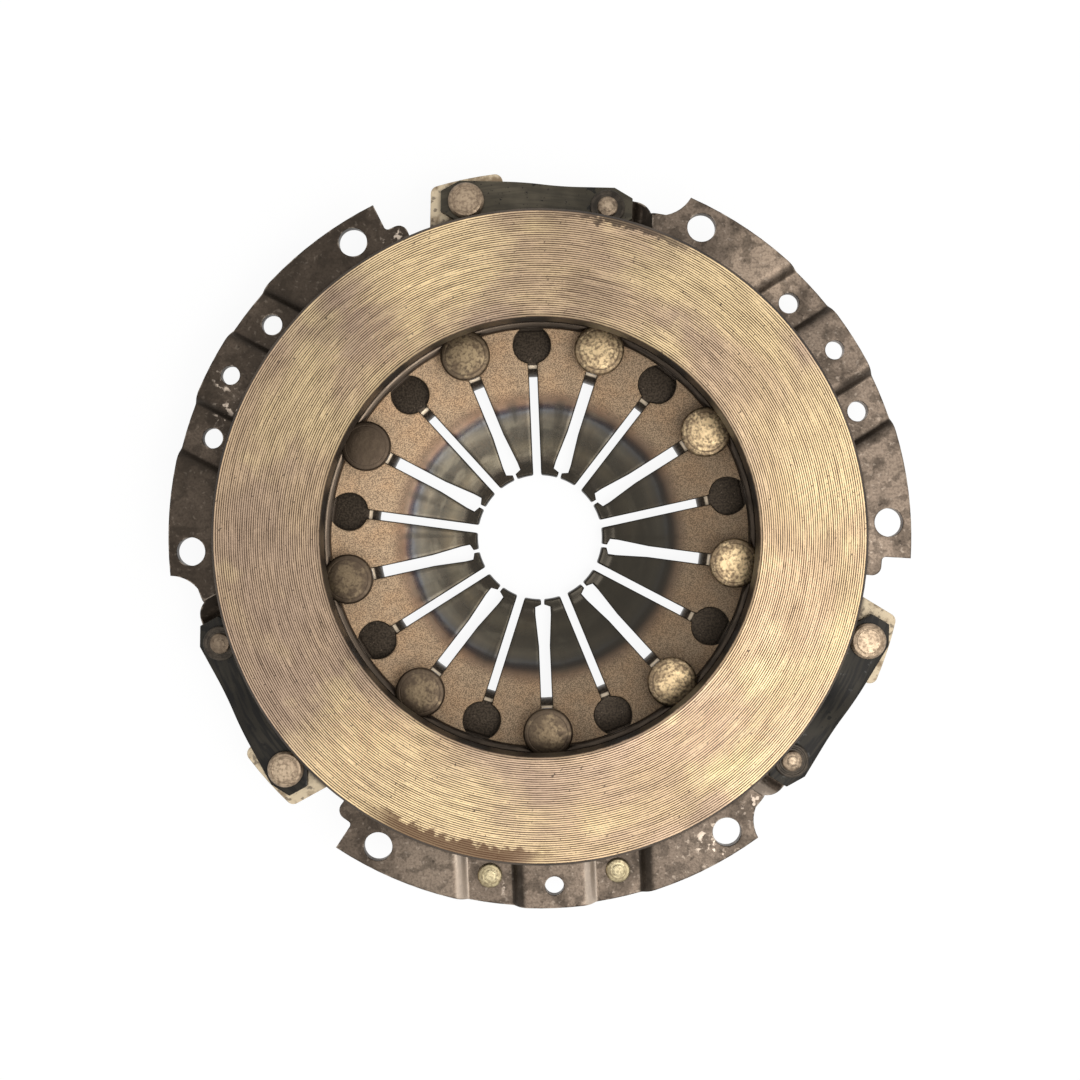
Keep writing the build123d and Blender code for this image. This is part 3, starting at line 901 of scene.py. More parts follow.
@dataclass(frozen=True)
class DrawnWire:
    """Smooth dark drawn wire with a painted highlight on the side away from the lamp."""

    steel: Colour = (0.062, 0.046, 0.033)
    dark: Colour = (0.020, 0.015, 0.011)
    shine: Colour = (0.20, 0.152, 0.112)
    shine_angle: float = 155.0
    drawing: Streaks = Streaks(1500.0, 12.0)

    def build(self) -> bpy.types.Material:
        """Makes the material.

        Returns:
            The material.
        """
        m = Material("drawn_wire", 0.85, 0.26)
        streak = m.streaks(self.drawing)
        colour = m.mix(m.step(streak, 0.35, 0.7) * 0.7, self.steel, self.dark)
        # painted highlight on the side away from the lamp
        shine = m.step(m.facing(self.shine_angle), 0.2, 0.9)
        colour = m.mix(shine * 0.6, colour, self.shine)
        rough = m.step(streak, 0.3, 0.7, 0.22, 0.36)
        return m.finish(colour, rough, m.bump(streak, 0.01 * MM))


def linked(name: str, mesh: bpy.types.Mesh) -> bpy.types.Object:
    """Object of a mesh, put in the scene.

    Args:
        name: the object's name.
        mesh: its mesh.

    Returns:
        The new object.
    """
    piece = bpy.data.objects.new(name, mesh)
    bpy.context.scene.collection.objects.link(piece)
    return piece


def fitted(
    piece: bpy.types.Object, nodes: Sequence[str], body: Body
) -> bpy.types.Object:
    """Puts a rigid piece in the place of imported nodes.

    Args:
        piece: the piece.
        nodes: the nodes that it replaces.
        body: the body that it rides on.

    Returns:
        The piece.
    """
    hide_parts(*nodes)
    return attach(piece, body.value)


def smooth(mesh: bpy.types.Mesh, limit: float = 35.0) -> None:
    """Shades a mesh smooth, but for edges sharper than a limit in degrees."""
    mesh.shade_smooth()
    mesh.set_sharp_from_angle(angle=math.radians(limit))


def outward(mesh: bpy.types.Mesh, weld: float = 0.0) -> None:
    """Turns a mesh's faces outwards.

    Args:
        mesh: the mesh.
        weld: distance within which corners are merged first, or 0 for none.
    """
    shape = bmesh.new()
    shape.from_mesh(mesh)
    if weld:
        bmesh.ops.remove_doubles(shape, verts=shape.verts, dist=weld)
    bmesh.ops.recalc_face_normals(shape, faces=shape.faces)
    shape.to_mesh(mesh)
    shape.free()


def welded_copy(node: str) -> bmesh.types.BMesh:
    """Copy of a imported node's mesh with its double corners merged.

    Args:
        node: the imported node's name.

    Returns:
        The copy.
    """
    copy = bmesh.new()
    copy.from_mesh(bpy.data.objects[node].data)
    bmesh.ops.remove_doubles(copy, verts=copy.verts, dist=0.002 * MM)
    return copy


def plain_mesh(name: str, shape: bmesh.types.BMesh) -> bpy.types.Mesh:
    """Mesh of a shape with no attributes carried over, and frees the shape.

    Args:
        name: the mesh's name.
        shape: the shape.

    Returns:
        The new mesh.
    """
    shape.verts.ensure_lookup_table()
    shape.verts.index_update()
    points = [vertex.co.copy() for vertex in shape.verts]
    loops = [[vertex.index for vertex in face.verts] for face in shape.faces]
    finishes = [face.material_index for face in shape.faces]
    shape.free()
    mesh = bpy.data.meshes.new(name)
    mesh.from_pydata(points, [], loops)
    mesh.polygons.foreach_set("material_index", finishes)
    return mesh


def lofted(name: str, rings: np.ndarray) -> bpy.types.Object:
    """Closed piece through rings of points.

    Args:
        name: the piece's name.
        rings: an array of rows, points and coordinates; both ends are capped.

    Returns:
        The new object.
    """
    rows, count, _ = rings.shape
    faces = [tuple(range(count)), tuple(range((rows - 1) * count, rows * count))[::-1]]
    for row in range(rows - 1):
        here, there = row * count, (row + 1) * count
        for column in range(count):
            after = (column + 1) % count
            faces.append((here + column, there + column, there + after, here + after))
    mesh = bpy.data.meshes.new(name)
    mesh.from_pydata(rings.reshape(-1, 3).tolist(), [], faces)
    outward(mesh, 0.0005 * MM)
    smooth(mesh)
    return linked(name, mesh)


def section_loop(columns: int, corner_steps: int) -> list[tuple[float, float, float, float]]:
    """Loop round a flat bar's section, as shares of its sides and of its corner rounding.

    Args:
        columns: spans across each broad side.
        corner_steps: points in each rounded corner.

    Returns:
        Rows of across, across_corner, down and down_corner: across and down go from 0 to 1 over
        the bar less its corners, and the corner shares add the rounding at either end.
    """
    loop = [(column / columns, 0.0, 0.0, 0.0) for column in range(columns + 1)]
    quarter = [math.pi / 2 * step / corner_steps for step in range(1, corner_steps + 1)]
    loop += [(1.0, math.sin(turn), 0.0, 1 - math.cos(turn)) for turn in quarter]
    loop += [(1.0, math.cos(turn), 1.0, -1 + math.sin(turn)) for turn in [0.0] + quarter]
    loop += [(1 - column / columns, 0.0, 1.0, 0.0) for column in range(1, columns + 1)]
    loop += [(0.0, -math.sin(turn), 1.0, -1 + math.cos(turn)) for turn in quarter]
    loop += [(0.0, -math.cos(turn), 0.0, 1 - math.sin(turn)) for turn in [0.0] + quarter[:-1]]
    return loop


class Tree(Graph):
    """Geometry tree whose named inputs are the sizes of a dataclass and a finish."""

    def __init__(self, name: str, sizes: object) -> None:
        """Makes the tree, its inputs and their signals.

        Args:
            name: the tree's name.
            sizes: a dataclass, whose whole and decimal fields become inputs.
        """
        super().__init__(bpy.data.node_groups.new(name, "GeometryNodeTree"))
        face = self.tree.interface
        face.new_socket("Geometry", in_out="OUTPUT", socket_type="NodeSocketGeometry")
        kinds = {int: "NodeSocketInt", float: "NodeSocketFloat"}
        self.values = {}
        for size in fields(sizes):
            if size.type in kinds:
                face.new_socket(size.name, in_out="INPUT", socket_type=kinds[size.type])
                self.values[size.name] = getattr(sizes, size.name)
        face.new_socket("finish", in_out="INPUT", socket_type="NodeSocketMaterial")
        source = self.node("NodeGroupInput")
        self.size = {name: self.out(source, name) for name in (*self.values, "finish")}

    def finished(self, geometry: Signal) -> Signal:
        """Real geometry with the tree's finish, which ends the tree."""
        real = self.add("GeometryNodeRealizeInstances", {0: geometry})
        return self.add("GeometryNodeSetMaterial", {0: real, "Material": self.size["finish"]})

    def round_axis(self, radius: Value, turn: Signal, height: Value) -> Signal:
        """Point at a radius, an angle in radians and a height."""
        cosine, sine = self.maths("COSINE", turn), self.maths("SINE", turn)
        return self.vector(radius * cosine, radius * sine, height)

    def bake(self, geometry: Signal, finish: bpy.types.Material, piece: str) -> bpy.types.Object:
        """Ends the tree, runs it and keeps its result as a plain mesh.

        Args:
            geometry: what the tree gives.
            finish: the material of the tree's input.
            piece: the new object's name.

        Returns:
            The new object.
        """
        self.node("NodeGroupOutput", {0: self.finished(geometry)})
        host = linked(piece + "_host", bpy.data.meshes.new(piece + "_host"))
        modifier = host.modifiers.new("tree", "NODES")
        modifier.node_group = self.tree
        values = {**self.values, "finish": finish}
        for item in self.tree.interface.items_tree:
            if item.in_out == "INPUT":
                modifier[item.identifier] = values[item.name]
        graph = bpy.context.evaluated_depsgraph_get()
        mesh = bpy.data.meshes.new_from_object(host.evaluated_get(graph), depsgraph=graph)
        host.modifiers.remove(modifier)
        bpy.data.objects.remove(host)
        mesh.name = piece
        return linked(piece, mesh)


@dataclass(frozen=True)
class TurnedSet:
    """Turned parts spaced about the axis.

    Each is a section swept round a lathe circle, and its corners are rounded.
    """

    count: int
    circle_radius: float
    start_angle: float
    step_angle: float
    rounding: float = 0.25 * MM
    rounding_steps: int = 3
    lathe: float = 1.0 * MM
    weld: float = 0.001 * MM
    segments: int = 56
    seed: int = 3

    @staticmethod
    def spread(nodes: Sequence[str]) -> dict[str, float]:
        """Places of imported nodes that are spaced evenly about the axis.

        Args:
            nodes: the nodes' names.

        Returns:
            The set's count, circle and angles by name.
        """
        first = middle(nodes[0])
        return {
            "count": len(nodes),
            "circle_radius": first.xy.length,
            "start_angle": bearing(first),
            "step_angle": 360 / len(nodes),
        }

    def section(self, size: dict[str, Signal]) -> Section:
        """Half section as radius and height, from the axis or bore and back to it."""
        raise NotImplementedError

    def turned(self, tree: Tree) -> Signal:
        """One turned part, with its own coordinates kept as an attribute.

        Args:
            tree: the tree to fill.

        Returns:
            The part's mesh.
        """
        size = tree.size
        outline = self.section(size)
        chooser = tree.node("GeometryNodeIndexSwitch", data_type="VECTOR")
        for _ in outline[2:]:
            chooser.index_switch_items.new()
        tree.feed(chooser.inputs[0], tree.add("GeometryNodeInputIndex"))
        for number, (radius, height) in enumerate(outline, 1):
            corner = tree.vector(radius - size["lathe"], 0.0 - height, 0.0)
            tree.feed(chooser.inputs[number], corner)
        line = tree.add("GeometryNodeMeshLine", {"Count": len(outline)})
        line = tree.add("GeometryNodeSetPosition", {0: line, "Position": tree.out(chooser)})
        line = tree.add("GeometryNodeMeshToCurve", {0: line})
        bends = {0: line, "Count": size["rounding_steps"], "Radius": size["rounding"]}
        bends["Limit Radius"] = True
        line = tree.add("GeometryNodeFilletCurve", bends, mode="POLY")
        circle = {"Resolution": size["segments"], "Radius": size["lathe"]}
        circle = tree.add("GeometryNodeCurvePrimitiveCircle", circle)
        mesh = tree.add("GeometryNodeCurveToMesh", {0: circle, "Profile Curve": line})
        mesh = tree.add("GeometryNodeMergeByDistance", {0: mesh, "Distance": size["weld"]})
        own = {0: mesh, "Name": "own_place", "Value": tree.add("GeometryNodeInputPosition")}
        return tree.add("GeometryNodeStoreNamedAttribute", own, data_type="FLOAT_VECTOR")

    def make(self, piece: str, finish: bpy.types.Material) -> bpy.types.Object:
        """Builds all copies as one mesh, each turned at random about its own axis.

        Args:
            piece: the new object's name.
            finish: its material.

        Returns:
            The new object.
        """
        tree = Tree(piece + "_tree", self)
        size = tree.size
        mesh = self.turned(tree)
        index = tree.add("GeometryNodeInputIndex")
        turn = (size["start_angle"] + index * size["step_angle"]) * (math.pi / 180)
        spot = tree.round_axis(size["circle_radius"], turn, 0.0)
        points = tree.add("GeometryNodePoints", {"Count": size["count"], "Position": spot})
        limits = {0: (0.0, 0.0, 0.0), 1: (0.0, 0.0, 2 * math.pi), "Seed": size["seed"]}
        spin = tree.add("FunctionNodeRandomValue", limits, data_type="FLOAT_VECTOR")
        spin = tree.add("FunctionNodeEulerToRotation", {0: spin})
        copies = {"Points": points, "Instance": mesh, "Rotation": spin}
        made = tree.bake(tree.add("GeometryNodeInstanceOnPoints", copies), finish, piece)
        outward(made.data)
        smooth(made.data, limit=40.0)
        return made


@dataclass(frozen=True)
class RivetSet(TurnedSet):
    """Rivets with a domed head, a shoulder, a shank and a pressed tail."""

    top: float = 0.0
    seat: float = 0.0
    foot: float = 0.0
    back: float = 0.0
    low: float = 0.0
    head_radius: float = 0.0
    head_edge: float = 0.0
    crown: float = 0.3 * MM
    ring_share: float = 0.68
    ring_depth: float = 0.10 * MM
    shoulder_radius: float = 0.0
    shank_radius: float = 0.0
    tail_radius: float = 0.0
    tail_edge: float = 0.6 * MM
    shoulder_depth: ClassVar[float] = 1.0 * MM
    shoulder_ledge: ClassVar[float] = 0.01 * MM

    @classmethod
    def at(
        cls, nodes: Sequence[str], head_height: float, tail_height: float, **sizes: float
    ) -> "RivetSet":
        """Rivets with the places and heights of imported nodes.

        Args:
            nodes: the nodes' names.
            head_height: height of the head.
            tail_height: height of the tail.
            sizes: the other sizes, and any that differ from what the nodes give.

        Returns:
            The set. Unless sizes says otherwise, its shoulder is short and barely wider than its
            shank.
        """
        low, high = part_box(nodes[0])
        seat = high.z - head_height
        given = {"top": high.z, "seat": seat, "back": low.z + tail_height, "low": low.z}
        given["foot"] = seat - cls.shoulder_depth
        given["shank_radius"] = sizes["shoulder_radius"] - cls.shoulder_ledge
        return cls(**{**cls.spread(nodes), **given, **sizes})

    def section(self, size: dict[str, Signal]) -> Section:
        """Half section from the top of the head down to the tail.

        Args:
            size: signals of the sizes.

        Returns:
            The half section.
        """
        top, seat, foot, back, low = (size[name] for name in ("top", "seat", "foot", "back", "low"))
        head, shoulder, shank, tail = (
            size[name + "_radius"] for name in ("head", "shoulder", "shank", "tail")
        )
        ring, dent, crown = head * size["ring_share"], size["ring_depth"], size["crown"]
        rim = top - crown
        return [
            (0.0, top),
            (ring * 0.6, top - crown * 0.1),
            (ring - dent * 2, top - crown * 0.3),
            (ring, top - crown * 0.4 - dent),
            (ring + dent * 2, top - crown * 0.5),
            (head - size["head_edge"], rim),
            (head, rim - size["head_edge"]),
            (head, seat),
            (shoulder, seat),
            (shoulder, foot),
            (shank, foot),
            (shank, back),
            (tail, back),
            (tail, low + size["tail_edge"]),
            (tail - size["tail_edge"], low),
            (0.0, low),
        ]


@dataclass(frozen=True)
class WasherSet(TurnedSet):
    """Flat washers with two turned rings in their face."""

    bore_radius: float = 0.0
    washer_radius: float = 0.0
    low: float = 0.0
    high: float = 0.0
    ring_depth: float = 0.12 * MM
    seam: float = 0.002 * MM

    def section(self, size: dict[str, Signal]) -> Section:
        """Half section round the washer, which ends a seam's height above its start.

        Args:
            size: signals of the sizes.

        Returns:
            The half section.
        """
        bore, outer, low, high = (
            size[name] for name in ("bore_radius", "washer_radius", "low", "high")
        )
        dent, width = size["ring_depth"], outer - bore
        return [
            (bore, low),
            (outer, low),
            (outer, high - dent * 2),
            (outer - width * 0.12, high),
            (outer - width * 0.30, high),
            (outer - width * 0.38, high - dent),
            (outer - width * 0.50, high - dent),
            (outer - width * 0.58, high),
            (bore, high),
            (bore, low + size["seam"]),
        ]


@dataclass(frozen=True)
class FaceRing:
    """Sizes of the turned ring: its circles, height, grooves and fineness."""

    inner_radius: float
    outer_radius: float
    height: float
    grooves: int = 46
    groove_depth: float = 0.06 * MM
    steps: int = 4
    segments: int = 300
    weld: float = 0.001 * MM

    def make(self, finish: bpy.types.Material) -> bpy.types.Object:
        """Runs the tree that lays round-bottomed grooves on a flat ring.

        Args:
            finish: the ring's material.

        Returns:
            The open grooved ring.
        """
        tree = Tree("turned_face_tree", self)
        size = tree.size
        rows = size["grooves"] * size["steps"] + 1
        grid = {"Size X": 1.0, "Size Y": 1.0, "Vertices X": rows}
        grid["Vertices Y"] = size["segments"] + 1
        grid = tree.add("GeometryNodeMeshGrid", grid)
        x, y, _ = tree.parts(tree.add("GeometryNodeInputPosition"))
        across = x + 0.5
        radius = size["inner_radius"] + across * (size["outer_radius"] - size["inner_radius"])
        share = tree.maths("FRACT", across * size["grooves"] + 0.0001) * 2 - 1
        height = size["height"] - size["groove_depth"] * (1 - share * share)
        place = tree.round_axis(radius, (y + 0.5) * (2 * math.pi), height)
        grid = tree.add("GeometryNodeSetPosition", {0: grid, "Position": place})
        grid = tree.add("GeometryNodeMergeByDistance", {0: grid, "Distance": size["weld"]})
        return tree.bake(grid, finish, "turned_face")


@dataclass
class PlateCasting:
    """Pressure plate: a rough casting whose friction face is turned."""

    bore_radius: float = 68.0 * MM
    friction_radius: float = 101.5 * MM
    chamfer: float = 0.8 * MM
    land: float = 0.3 * MM
    lugs: int = 3
    rivet_head: float = 5.65 * MM
    rivet_shank: float = 3.2 * MM
    rivet_tail: float = 4.9 * MM
    head_height: float = 2.2 * MM
    tail_height: float = 1.8 * MM
    top: float = 0.0

    def __post_init__(self) -> None:
        """Takes the face's height from the frame."""
        self.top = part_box("pressure_plate")[1].z

    def stitch(self, shape: bmesh.types.BMesh, first: int) -> None:
        """Joins the grooved ring to the casting's open face, and gives it the turned finish.

        Args:
            shape: the casting and the ring.
            first: index of the ring's first face.
        """
        shape.faces.ensure_lookup_table()
        turned = list(shape.faces[first:])
        bmesh.ops.remove_doubles(shape, verts=shape.verts, dist=0.0005 * MM)
        split = (self.bore_radius + self.friction_radius) / 2
        for inner in (True, False):
            edges = [
                edge
                for edge in shape.edges
                if edge.is_boundary and (edge.verts[0].co.xy.length < split) == inner
            ]
            turned += bmesh.ops.bridge_loops(shape, edges=edges)["faces"]
        for face in turned:
            face.material_index = 1

    def casting(self) -> bpy.types.Object:
        """Casting with the grooved ring stitched into its face, as one closed shell.

        Returns:
            The casting.
        """
        border = self.chamfer + self.land
        ring = FaceRing(self.bore_radius + border, self.friction_radius - border, self.top)
        pitch = (ring.outer_radius - ring.inner_radius) / ring.grooves
        turned = TurnedIron(pitch, ring.inner_radius, ring.outer_radius, self.top).build()
        grooved = ring.make(turned)
        shape = welded_copy("pressure_plate")
        flat = [
            face
            for face in shape.faces
            if all(abs(vertex.co.z - self.top) < 0.01 * MM for vertex in face.verts)
        ]
        bmesh.ops.delete(shape, geom=flat, context="FACES")
        first = len(shape.faces)
        shape.from_mesh(grooved.data)
        self.stitch(shape, first)
        bmesh.ops.recalc_face_normals(shape, faces=shape.faces)
        mesh = plain_mesh("plate_casting", shape)
        mesh.materials.append(CastIron().build())
        mesh.materials.append(turned)
        smooth(mesh, limit=30.0)
        bpy.data.objects.remove(grooved)
        piece = linked("plate_casting", mesh)
        return fitted(piece, ["pressure_plate"], Body.PLATE)

    def lug_rivets(self) -> bpy.types.Object:
        """Rivets that hold the straps to the lugs.

        Returns:
            The rivets.
        """
        steel = PressedHead(
            "lug_rivet_steel",
            base=(0.46, 0.345, 0.238),
            light=(0.64, 0.488, 0.335),
            dark=(0.18, 0.128, 0.084),
            crown_radius=4.2 * MM,
            ring_pitch=1.9 * MM,
            shade_angle=100.0,
            shade=0.35,
        )
        nodes = numbered("lug_strap_rivet", self.lugs)
        rivets = RivetSet.at(
            nodes,
            self.head_height,
            self.tail_height,
            head_radius=self.rivet_head,
            head_edge=0.7 * MM,
            shoulder_radius=self.rivet_shank,
            tail_radius=self.rivet_tail,
        )
        piece = rivets.make("lug_rivets", steel.build())
        return fitted(piece, nodes, Body.PLATE)

    def build(self) -> list[bpy.types.Object]:
        """Makes the casting and its rivets."""
        return [self.casting(), self.lug_rivets()]


@dataclass
class DiaphragmSpring:
    """Slotted spring, made as eighteen fingers and the eighteen rim sectors behind them."""

    fingers: int = 18
    first_plain_slot: float = 10.0
    rim_radius: float = 87.0 * MM
    ridge_radius: float = 84.0 * MM
    fulcrum_radius: float = 69.53 * MM
    keyhole_circle: float = 62.97 * MM
    keyhole_radius: float = 6.0 * MM
    neck_rounding: float = 0.9 * MM
    neck_lead: float = 0.3 * MM
    plain_slot: float = 2.6 * MM
    rivet_slot: float = 3.5 * MM
    flare_width: float = 5.0 * MM
    flare_radius: float = 26.0 * MM
    flare_run: float = 10.0 * MM
    ear_radius: float = 23.4 * MM
    ear_slope: float = 1.0 * MM
    ear_gap: float = 1.0 * MM
    kink_radius: float = 43.0 * MM
    kink_bend: float = 30.0 * MM
    tip_bend_radius: float = 24.5 * MM
    tip_bend: float = 4.0 * MM
    tip_radius: float = 21.0 * MM
    tip_rise: float = 0.9 * MM
    bearing_radius: float = 25.0 * MM
    cone: float = 12.0
    finger_cone: float = 7.0
    thickness: float = 2.4 * MM
    edge: float = 0.55 * MM
    columns: int = 10
    corner_steps: int = 3
    end_steps: int = 4
    profile_points: int = 900
    row_spacing: float = 0.8 * MM
    keyhole_steps: int = 26
    rim_steps: int = 12

    def profile(self) -> tuple[np.ndarray, np.ndarray, np.ndarray]:
        """Top face from the tip out to the rim, with its two bends.

        Returns:
            Radius, height and slope of its points.
        """
        outer = math.tan(math.radians(self.cone))
        inner = math.tan(math.radians(self.finger_cone))
        tip = -self.tip_rise / (self.tip_bend_radius - self.tip_radius)
        kink_half = self.kink_bend * math.tan((math.atan(outer) - math.atan(inner)) / 2)
        tip_half = self.tip_bend * math.tan((math.atan(inner) - math.atan(tip)) / 2)
        radii = np.linspace(self.tip_radius, self.rim_radius, self.profile_points)
        knots = [
            self.tip_bend_radius - tip_half,
            self.tip_bend_radius + tip_half,
            self.kink_radius - kink_half,
            self.kink_radius + kink_half,
        ]
        slopes = np.interp(radii, knots, [tip, inner, inner, outer])
        rise = np.cumsum((slopes[1:] + slopes[:-1]) / 2 * np.diff(radii))
        rise = np.concatenate([[0.0], rise])
        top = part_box("diaphragm_spring")[1].z
        return radii, top - rise[-1] + rise, slopes

    def slot_half(self, radius: float, flared: bool) -> float:
        """Half width of a slot, whose neck runs smoothly into its keyhole.

        Args:
            radius: where it is measured.
            flared: whether the slot ends under a rivet head and widens towards the tips.

        Returns:
            The half width, which is zero outside the keyhole.
        """
        away = radius - self.keyhole_circle
        keyhole = self.keyhole_radius**2 - away**2
        if away > 0:
            return math.sqrt(keyhole) if keyhole > 0 else 0.0
        hole = math.sqrt(keyhole) if keyhole > 0 else self.keyhole_radius + away
        flare_end = self.flare_radius + self.flare_run
        stations = [self.ear_radius - self.ear_slope, self.ear_radius, self.flare_radius, flare_end]
        widths = [self.ear_gap, self.flare_width, self.flare_width, self.rivet_slot]
        width = float(np.interp(radius, stations, widths)) if flared else self.plain_slot
        return (hole + width / 2 + math.hypot(hole - width / 2, self.neck_rounding)) / 2

    def ring(self, radius: float, inset: float, finger: int, profile: tuple) -> list[Vector]:
        """Points round the spring's section at one radius.

        Args:
            radius: radius on the top face.
            inset: how far the section is drawn in, for rounded ends.
            finger: the finger's number from zero.
            profile: what profile() gave.

        Returns:
            The ring's points.
        """
        radii, heights, slopes = profile
        height = float(np.interp(radius, radii, heights))
        lean = math.atan(float(np.interp(radius, radii, slopes)))
        pitch = 360 / self.fingers
        start = self.first_plain_slot + finger * pitch
        sides = []
        for flared in (finger % 2 == 1, finger % 2 == 0):
            half = self.slot_half(radius, flared)
            turn = math.degrees(math.asin(min(1.0, half / radius)))
            sides.append((turn, min(self.edge, half * 0.6)))
        unit = math.degrees(1 / radius)
        first = start + sides[0][0] + sides[0][1] * unit
        last = start + pitch - sides[1][0] - sides[1][1] * unit
        points = []
        for across, corner, down, down_corner in section_loop(self.columns, self.corner_steps):
            rounding = sides[0][1] if across < 0.5 else sides[1][1]
            angle = first + (last - first) * across + corner * rounding * unit
            angle += (0.5 - across) * 2 * inset * unit
            depth = self.thickness * down + rounding * down_corner
            depth = inset + depth * (self.thickness - 2 * inset) / self.thickness
            reach = radius + depth * math.sin(lean)
            points.append(polar(reach, angle, height - depth * math.cos(lean)))
        return points

    def finger_rows(self) -> list[tuple[float, float]]:
        """Radii and insets of a finger's rings, from its rounded tip out to the fulcrum.

        Returns:
            The rows.
        """
        tip = self.tip_radius + self.edge
        turns = [math.pi / 2 * step / self.end_steps for step in range(self.end_steps, 0, -1)]
        rows = [(tip - self.edge * math.sin(t), self.edge * (1 - math.cos(t))) for t in turns]
        near = self.keyhole_circle - self.keyhole_radius
        far = self.keyhole_circle + self.keyhole_radius
        marks = [tip, self.ear_radius - self.ear_slope, self.ear_radius, self.flare_radius]
        marks += [self.flare_radius + self.flare_run, near - self.neck_lead]
        for start, end in zip(marks, marks[1:]):
            spans = max(1, round((end - start) / self.row_spacing))
            rows += [(start + (end - start) * span / spans, 0.0) for span in range(spans)]
        swing = [math.pi * step / self.keyhole_steps for step in range(self.keyhole_steps + 1)]
        rows += [(self.keyhole_circle - self.keyhole_radius * math.cos(t), 0.0) for t in swing]
        return rows + [((far + self.fulcrum_radius) / 2, 0.0), (self.fulcrum_radius, 0.0)]

    def rim_rows(self) -> list[tuple[float, float]]:
        """Radii and insets of a rim sector's rings, from the fulcrum to its rounded edge.

        Returns:
            The rows.
        """
        last = self.rim_radius - self.edge
        spans = self.rim_steps
        width = last - self.fulcrum_radius
        rows = [(self.fulcrum_radius + width * n / spans, 0.0) for n in range(spans + 1)]
        turns = [math.pi / 2 * step / self.end_steps for step in range(1, self.end_steps + 1)]
        ends = [(last + self.edge * math.sin(t), self.edge * (1 - math.cos(t))) for t in turns]
        return rows + ends

    def build(self) -> list[bpy.types.Object]:
        """Makes every finger and every rim sector.

        Returns:
            The pieces.
        """
        finish = SpringSteel().build()
        profile = self.profile()
        pieces = []
        for finger in range(self.fingers):
            angle = self.first_plain_slot + (finger + 0.5) * 360 / self.fingers
            fulcrum = polar(self.fulcrum_radius, angle)
            for label, rows, body, reach in (
                ("finger", self.finger_rows(), Body.DIAPHRAGM, self.bearing_radius),
                ("rim", self.rim_rows(), Body.PLATE, self.ridge_radius),
            ):
                rings = [self.ring(radius, inset, finger, profile) for radius, inset in rows]
                piece = lofted(f"spring_{label}_{finger + 1}", np.array(rings))
                piece.data.materials.append(finish)
                end = polar(reach, angle)
                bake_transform(piece)
                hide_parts("diaphragm_spring")
                pieces.append(piece)
        return pieces


